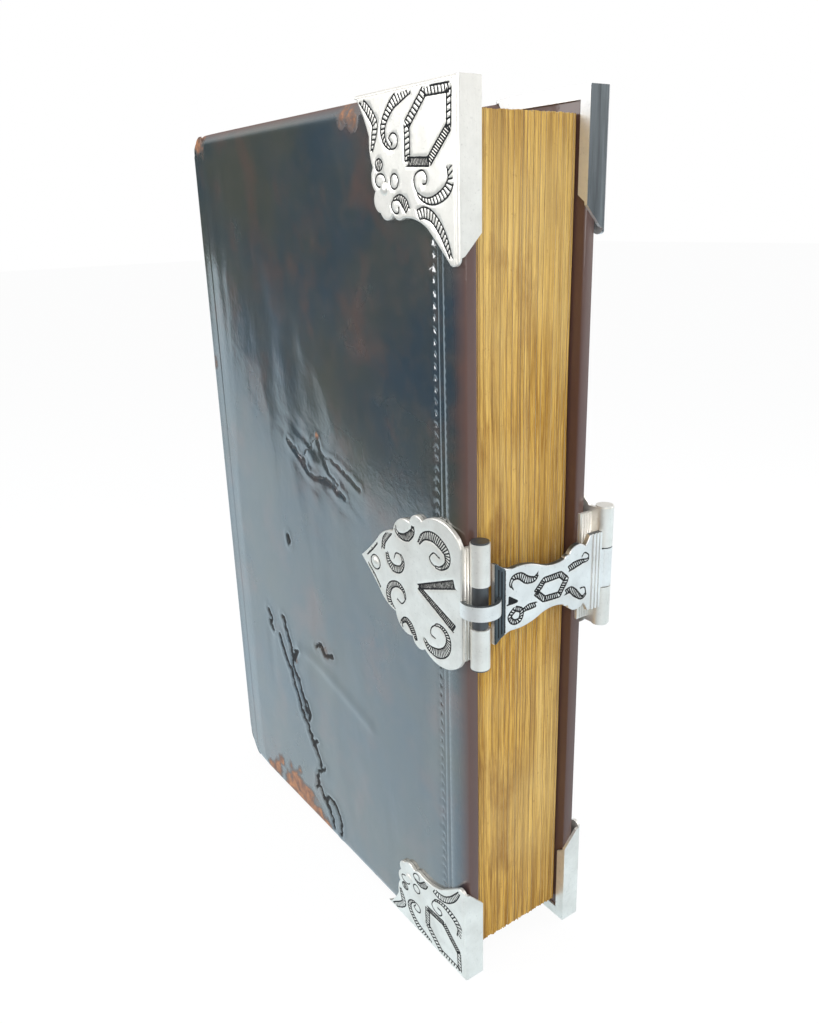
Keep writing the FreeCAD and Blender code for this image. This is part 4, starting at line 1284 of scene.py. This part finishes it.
def rivet_domes(side, tree):
    """Domed heads where the CAD rivets are."""
    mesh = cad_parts[f"{SIDES[side]}_rivets"].data
    co = np.array([v.co for v in mesh.vertices]) / MM
    places = []
    for point in co:
        if all(math.hypot(point[0] - p[0], point[2] - p[2]) > RIVET_APART for p in places):
            near = co[np.hypot(co[:, 0] - point[0], co[:, 2] - point[2]) < RIVET_APART]
            middle = (near.min(axis=0) + near.max(axis=0)) / 2
            places.append((middle[0], side * (mount_face + SKIN * 0.6), middle[2]))
    domes = run_tree(f"{SIDES[side]}_rivet_domes", tree,
                     {"Radius": DOME_RADIUS * MM, "Squash": (1.0, DOME_SQUASH, 1.0),
                      "Silver": BRIGHT}, places)
    smooth_shade(domes)
    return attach(domes, f"{SIDES[side]}_cover")


def smooth_shade(item):
    """Smooth shading on every face."""
    item.data.polygons.foreach_set("use_smooth", [True] * len(item.data.polygons))


def reed_tree():
    """Upright half round reeds in a row."""
    tree, given, out = new_tree("reeds", [
        ("Count", "NodeSocketInt"), ("Step", "NodeSocketVector"), ("Radius", "NodeSocketFloat"),
        ("Height", "NodeSocketFloat"), ("Silver", "NodeSocketMaterial")])
    row = put(tree, "GeometryNodeMeshLine", {"Count": given.outputs["Count"],
                                             "Offset": given.outputs["Step"]}, mode="OFFSET")
    reed = put(tree, "GeometryNodeMeshCylinder", {"Vertices": 12, "Radius": given.outputs["Radius"],
                                                  "Depth": given.outputs["Height"]})
    placed = put(tree, "GeometryNodeInstanceOnPoints", {"Points": row.outputs[0],
                                                        "Instance": reed.outputs["Mesh"]})
    whole = put(tree, "GeometryNodeRealizeInstances", {"Geometry": placed.outputs[0]})
    dress_tree(tree, out, whole, given.outputs["Silver"])
    return tree


# The reeds on the strip at the fore edge
REED_COUNT = 4
REED_PITCH = 0.62
REED_RADIUS = 0.24
REED_HEIGHT = 20.2


def strip_reeds(side, tree):
    """The reeded strip where a plate is folded onto the fore edge."""
    reeds = run_tree(f"{SIDES[side]}_strip_reeds", tree,
                     {"Count": REED_COUNT, "Step": (0.0, -side * REED_PITCH * MM, 0.0),
                      "Radius": REED_RADIUS * MM, "Height": REED_HEIGHT * MM, "Silver": BRIGHT})
    start = Vector((fore_outer - 0.04, side * (mount_face - 0.75), clasp_z))
    reeds.data.transform(Matrix.Translation(start * MM))
    smooth_shade(reeds)
    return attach(reeds, f"{SIDES[side]}_cover")


# Spine and joints

# The four raised bands: height of the first, pitch, how far they stand out, half their width and
# how soft their sides are
BAND_COUNT = 4
BAND_FIRST, BAND_PITCH = 34.0, 30.5
BAND_RISE, BAND_HALF, BAND_SOFT = 1.7, 2.2, 0.28
# The spine's skin: rise of its curve, pieces across it, and the heights of its rows near the tail
# and, measured from the head, near the head. Even rows fill the rest.
SPINE_RISE = 3.5
SPINE_ACROSS = 48
TAIL_ROWS = [0.45, 0.6, 0.9, 1.4, 2.0, 2.8, 3.8, 5.0, 6.2]
HEAD_ROWS = [3.0, 2.3, 1.7, 1.2, 0.8, 0.55, 0.42]
EVEN_ROWS = list(np.linspace(7.4, 156.2, 240))


def spine_band(z):
    """How far the leather stands out over the raised bands at one height."""
    away = min(abs(z - (BAND_FIRST + BAND_PITCH * number)) for number in range(BAND_COUNT))
    return BAND_RISE / (1 + math.exp((away - BAND_HALF) / BAND_SOFT))


def spine_end(z):
    """How full the spine is near its ends: one along most of it, less where the caps are worn."""
    tail = min(1.0, max(0.0, (z - 0.4) / 7.0))
    head = min(1.0, max(0.0, (book_head - 0.4 - z) / 3.4))
    return math.sqrt(1 - (1 - tail) ** 2), math.sqrt(1 - (1 - head) ** 2)


def spine_skin():
    """The leather over the back, in relief, with a cap turned over each endband."""
    side_x, half = spine_high[0], spine_high[1]
    rows = TAIL_ROWS + EVEN_ROWS + [book_head - z for z in HEAD_ROWS]
    across, last = SPINE_ACROSS, len(rows) - 1
    points = []
    for z in rows:
        tail, head = spine_end(z)
        full, band = tail * head, spine_band(z)
        for k in range(across + 1):
            t = 2 * k / across - 1
            wrinkle = 0.10 * noise.noise(Vector((t * 5, z / 9, 3.0)))
            wrinkle += 0.05 * noise.noise(Vector((t * 16, z / 3, 8.0)))
            out = (SPINE_RISE + band + wrinkle) * (1 - t * t) * (0.35 + 0.65 * full)
            points.append((side_x - out, half * t * (0.74 + 0.26 * full), z))
    faces = []
    width = across + 1
    for r in range(last):
        for k in range(across):
            faces.append((r * width + k, r * width + k + 1,
                          (r + 1) * width + k + 1, (r + 1) * width + k))
    n = len(points)
    points += [(side_x, y, z) for _, y, z in points]
    for r in range(last):
        faces.append((n + r * width, n + (r + 1) * width, n + (r + 1) * width + across,
                      n + r * width + across))
    for r in (0, last):
        for k in range(across):
            faces.append((r * width + k, r * width + k + 1, n + r * width + k + 1,
                          n + r * width + k))
    return points, faces


def finished_spine():
    """The spine's leather as one clean closed skin, rubbed on its bands and ends."""
    points, faces = spine_skin()
    skin = make_object("spine_skin", points, faces, LEATHER)
    work = bmesh.new()
    work.from_mesh(skin.data)
    bmesh.ops.remove_doubles(work, verts=work.verts, dist=1e-6)
    loose = [v for v in work.verts if not v.link_faces]
    bmesh.ops.delete(work, geom=loose, context="VERTS")
    bmesh.ops.recalc_face_normals(work, faces=work.faces)
    work.to_mesh(skin.data)
    work.free()
    co = np.array([v.co for v in skin.data.vertices]) / MM
    bands = np.array([spine_band(z) for z in co[:, 2]]) / BAND_RISE
    ends = np.clip(1 - np.minimum(co[:, 2], book_head - co[:, 2]) / 4, 0, 1)
    add_attribute(skin, "wear", 0.30 * bands + 0.45 * ends)
    add_attribute(skin, "edge", 0.3 * bands)
    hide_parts("spine_leather")
    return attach(skin, "book_block")


# Section of a joint's leather, from the side of the spine up onto the cover: x and y
JOINT_SECTION = ((1.30, 13.60), (1.25, 14.00), (1.50, 14.16), (2.2, 14.18), (3.2, 14.20),
                 (4.4, 14.26), (5.4, 14.30), (6.2, 14.22))
# The strip's thickness, its rows of points, and how far it stays inside the head and tail
JOINT_THICK = 0.25
JOINT_ROWS = 70
JOINT_INSET = 0.25


def joint_skin(side):
    """The leather that bends at a cover's joint, one strip from the spine onto the cover."""
    name = SIDES[side]
    outer = smooth(JOINT_SECTION, 0.35)
    inner = outer - normals(outer) * JOINT_THICK
    loop = np.vstack([outer, inner[::-1]])
    shares = np.linspace(0, 1, JOINT_ROWS)
    points = []
    for share in shares:
        for x, y in loop:
            into = max(0.0, x - cover_left)
            low = cover_tail + JOINT_INSET + corner_drop(into, TAIL_CORNER)
            high = cover_head - JOINT_INSET - corner_drop(into, HEAD_CORNER)
            points.append((x, side * y, low + share * (high - low)))
    strip = make_object(f"{name}_joint_skin", points, tube_faces(len(loop), JOINT_ROWS), LEATHER)
    co = np.array(points)
    patches = WEAR if side == FRONT else WEAR[:2]
    add_attribute(strip, "wear", wear_at(co[:, [0, 2]], patches))
    y = side * cover_outer * MM
    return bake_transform(strip)


def corner_drop(into, radius):
    """How far a rounded corner has taken the edge in, at a distance from the spine side."""
    return radius - math.sqrt(max(0.0, radius ** 2 - max(0.0, radius - into) ** 2))


# Finishes of the CAD nodes that stay in view

def dress(node, material, slot):
    """Gives a CAD node its material; the slot is not used."""
    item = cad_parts[node]
    item.data.materials.clear()
    item.data.materials.append(material)


def dress_frame():
    """Dresses every CAD node, also those that a skin covers or replaces."""
    for side, name in SIDES.items():
        dress(f"{name}_board", BOARD, "board")
        dress(f"{name}_leather", LEATHER, "leather")
        dress(f"{name}_pastedown", ENDPAPER, "endpaper")
        dress(f"{name}_clasp_plate", BRIGHT, "silver")
        dress(f"{name}_rivets", BRIGHT, "silver")
        for end in ("head", "tail"):
            dress(f"{name}_{end}_corner", *corner_finish(side, end))
    dress("text_block", LEAVES, "leaves")
    dress("spine_leather", LEATHER, "leather")
    dress("sewing_cords", CORD, "cord")
    for node in ("headband", "tailband"):
        dress(node, ENDBAND, "endband")
    # Painted shade: the catch bar gets the near black silver.
    dress("catch_bar", SHADED_BAR_SILVER, "dark_silver")
    dress("hinge_pin", BRIGHT, "silver")
    dress("clasp_strap", STRAP_SILVER, "silver")


# Camera, lamps and backdrop

# The camera: focal length and frame height in pixels of the photograph, sensor height, angles in
# degrees, and the distance from the point that it looks at
FOCAL_PX, FRAME_PX, SENSOR = 876.8, 1024, 36.0
AZIMUTH, ELEVATION, ROLL = 55.3, 18.78, -1.71
DISTANCE = 194.2
TARGET = Vector((50.9, 7.4, 79.4))


def camera():
    """A camera at the photograph's viewing angle."""
    azimuth, elevation, roll = (math.radians(a) for a in (AZIMUTH, ELEVATION, ROLL))
    back = Vector((math.sin(azimuth) * math.cos(elevation),
                   -math.cos(azimuth) * math.cos(elevation), math.sin(elevation)))
    level = Vector((math.cos(azimuth), math.sin(azimuth), 0))
    upright = back.cross(level)
    right = level * math.cos(roll) + upright * math.sin(roll)
    up = upright * math.cos(roll) - level * math.sin(roll)
    data = bpy.data.cameras.new("photo_view")
    data.sensor_width = SENSOR
    data.lens = FOCAL_PX / FRAME_PX * SENSOR
    data.clip_start, data.clip_end = 0.01, 20.0
    item = bpy.data.objects.new("photo_view", data)
    place = (TARGET + back * DISTANCE) * MM
    item.matrix_world = Matrix((right, up, back)).transposed().to_4x4()
    item.matrix_world.translation = place
    bpy.context.scene.collection.objects.link(item)
    bpy.context.scene.camera = item


# Soft boxes: place, the point that each lights, size, watts and colour
WHITE = (1, 1, 1)
LAMPS = {
    "key_softbox": ((380, -190, 230), (60, 0, 80), 260, 0.80, WHITE),
    "fill_softbox": ((-160, -420, 300), (40, -10, 80), 300, 1.6, (0.97, 0.985, 1.0)),
    "back_softbox": ((180, 330, 240), (80, 10, 90), 220, 0.7, WHITE),
    "top_softbox": ((40, 20, 420), (50, 0, 80), 240, 0.6, WHITE),
}


def lamp(name, place, aim, size, power, colour):
    """A square soft box that points at a place."""
    data = bpy.data.lights.new(name, "AREA")
    data.size = size * MM
    data.energy = power
    data.color = colour
    item = bpy.data.objects.new(name, data)
    place, aim = Vector(place) * MM, Vector(aim) * MM
    item.location = place
    item.rotation_euler = (aim - place).to_track_quat("-Z", "Y").to_euler()
    bpy.context.scene.collection.objects.link(item)


# How bright the table and the room read in reflections to the front left of the book, where a
# dark card stands in a studio, and elsewhere
CARD_DARK = 0.12
ROOM = 0.62
# Edge of the white paper in reflections, in metres: where it fades along Y, its slant with X, and
# how it turns away beyond a distance to the left
PAPER_FADE = (-0.175, -0.140)
PAPER_SLANT = -0.125
FAR_LEFT, FAR_LEFT_SLANT = 0.25, -0.20
# Way to the dark card, how directly a reflection has to look there, and how high the card reaches,
# all as parts of a direction of length one
CARD_WAY = (-0.8, -0.6)
CARD_SIDE = (0.45, 0.75)
CARD_TOP = (0.16, 0.42)
# Share of plain white in what the camera sees of the floor
FLOOR_LIFT = 0.945
# Half the floor's side, and how far it lies below the book
FLOOR_HALF, FLOOR_DROP = 3000, 0.05


def backdrop_material():
    """White paper for the camera. Reflections see it end at a dark card at the front left."""
    material, tree, shader = new_material("white_paper_floor")
    shader.inputs["Base Color"].default_value = (0.92, 0.93, 0.94, 1)
    shader.inputs["Roughness"].default_value = 0.9
    path = put(tree, "ShaderNodeLightPath")
    place = put(tree, "ShaderNodeSeparateXYZ", {"Vector": place_of(tree)})
    edge = sums(tree, "ADD", place.outputs["Y"],
                sums(tree, "MULTIPLY", place.outputs["X"], PAPER_SLANT))
    far_left = sums(tree, "MINIMUM", sums(tree, "ADD", place.outputs["X"], FAR_LEFT), 0.0)
    edge = sums(tree, "ADD", edge, sums(tree, "MULTIPLY", far_left, FAR_LEFT_SLANT))
    paper = between(tree, edge, *PAPER_FADE)
    mirrored = between(tree, paper, 0, 1, CARD_DARK, 1.0)
    white = put(tree, "ShaderNodeEmission", {"Color": (1, 1, 1, 1), "Strength": 1.0})
    shade = put(tree, "ShaderNodeEmission", {"Color": (0.74, 0.90, 1.0, 1), "Strength": mirrored})
    in_glossy = put(tree, "ShaderNodeMixShader", {0: path.outputs["Is Glossy Ray"],
                                                  1: shader.outputs[0], 2: shade.outputs[0]})
    lift = sums(tree, "MULTIPLY", path.outputs["Is Camera Ray"], FLOOR_LIFT)
    seen = put(tree, "ShaderNodeMixShader", {0: lift, 1: in_glossy.outputs[0],
                                             2: white.outputs[0]})
    output = next(n for n in tree.nodes if n.type == "OUTPUT_MATERIAL")
    tree.links.new(seen.outputs[0], output.inputs["Surface"])
    return material


def set_room():
    """A soft even room, white for the camera and darker low down at the front left."""
    world = bpy.data.worlds.new("soft_white_room")
    bpy.context.scene.world = world
    world.use_nodes = True
    tree = world.node_tree
    tree.nodes.clear()
    path = put(tree, "ShaderNodeLightPath")
    way = put(tree, "ShaderNodeSeparateXYZ",
              {"Vector": put(tree, "ShaderNodeTexCoord").outputs["Generated"]})
    left = sums(tree, "ADD", sums(tree, "MULTIPLY", way.outputs["X"], CARD_WAY[0]),
                sums(tree, "MULTIPLY", way.outputs["Y"], CARD_WAY[1]))
    low = between(tree, way.outputs["Z"], *CARD_TOP, 1.0, 0.0)
    card = sums(tree, "MULTIPLY", between(tree, left, *CARD_SIDE), low)
    card = sums(tree, "MULTIPLY", card, path.outputs["Is Glossy Ray"])
    level = between(tree, card, 0, 1, ROOM, CARD_DARK)
    tint = colours(tree, card, (0.96, 0.98, 1.0), (0.62, 0.86, 1.0))
    room = put(tree, "ShaderNodeBackground", {"Color": tint, "Strength": level})
    white = put(tree, "ShaderNodeBackground", {"Color": (1, 1, 1, 1), "Strength": 1.0})
    mixed = put(tree, "ShaderNodeMixShader", {0: path.outputs["Is Camera Ray"],
                                              1: room.outputs[0], 2: white.outputs[0]})
    output = put(tree, "ShaderNodeOutputWorld")
    tree.links.new(mixed.outputs[0], output.inputs["Surface"])


def set_stage():
    """The floor, the room, the lamps and plain colours."""
    corners = [(x * FLOOR_HALF, y * FLOOR_HALF, -FLOOR_DROP)
               for x, y in ((-1, -1), (1, -1), (1, 1), (-1, 1))]
    floor = make_object("floor", corners, [(0, 1, 2, 3)], backdrop_material(), shade=False)
    set_room()
    for name, (place, aim, size, power, colour) in LAMPS.items():
        lamp(name, place, aim, size, power, colour)
    bpy.context.scene.view_settings.view_transform = "Standard"


dress_frame()
for side in (FRONT, BACK):
    cover_skin(side)
    board_core(side)
    joint_skin(side)
    plate_skin(side)
    for end in ("head", "tail"):
        corner_skin(side, end)
strap_skin()
leaves()
finished_spine()
domes, reeds = rivet_tree(), reed_tree()
for side in (FRONT, BACK):
    rivet_domes(side, domes)
    strip_reeds(side, reeds)
camera()
set_stage()
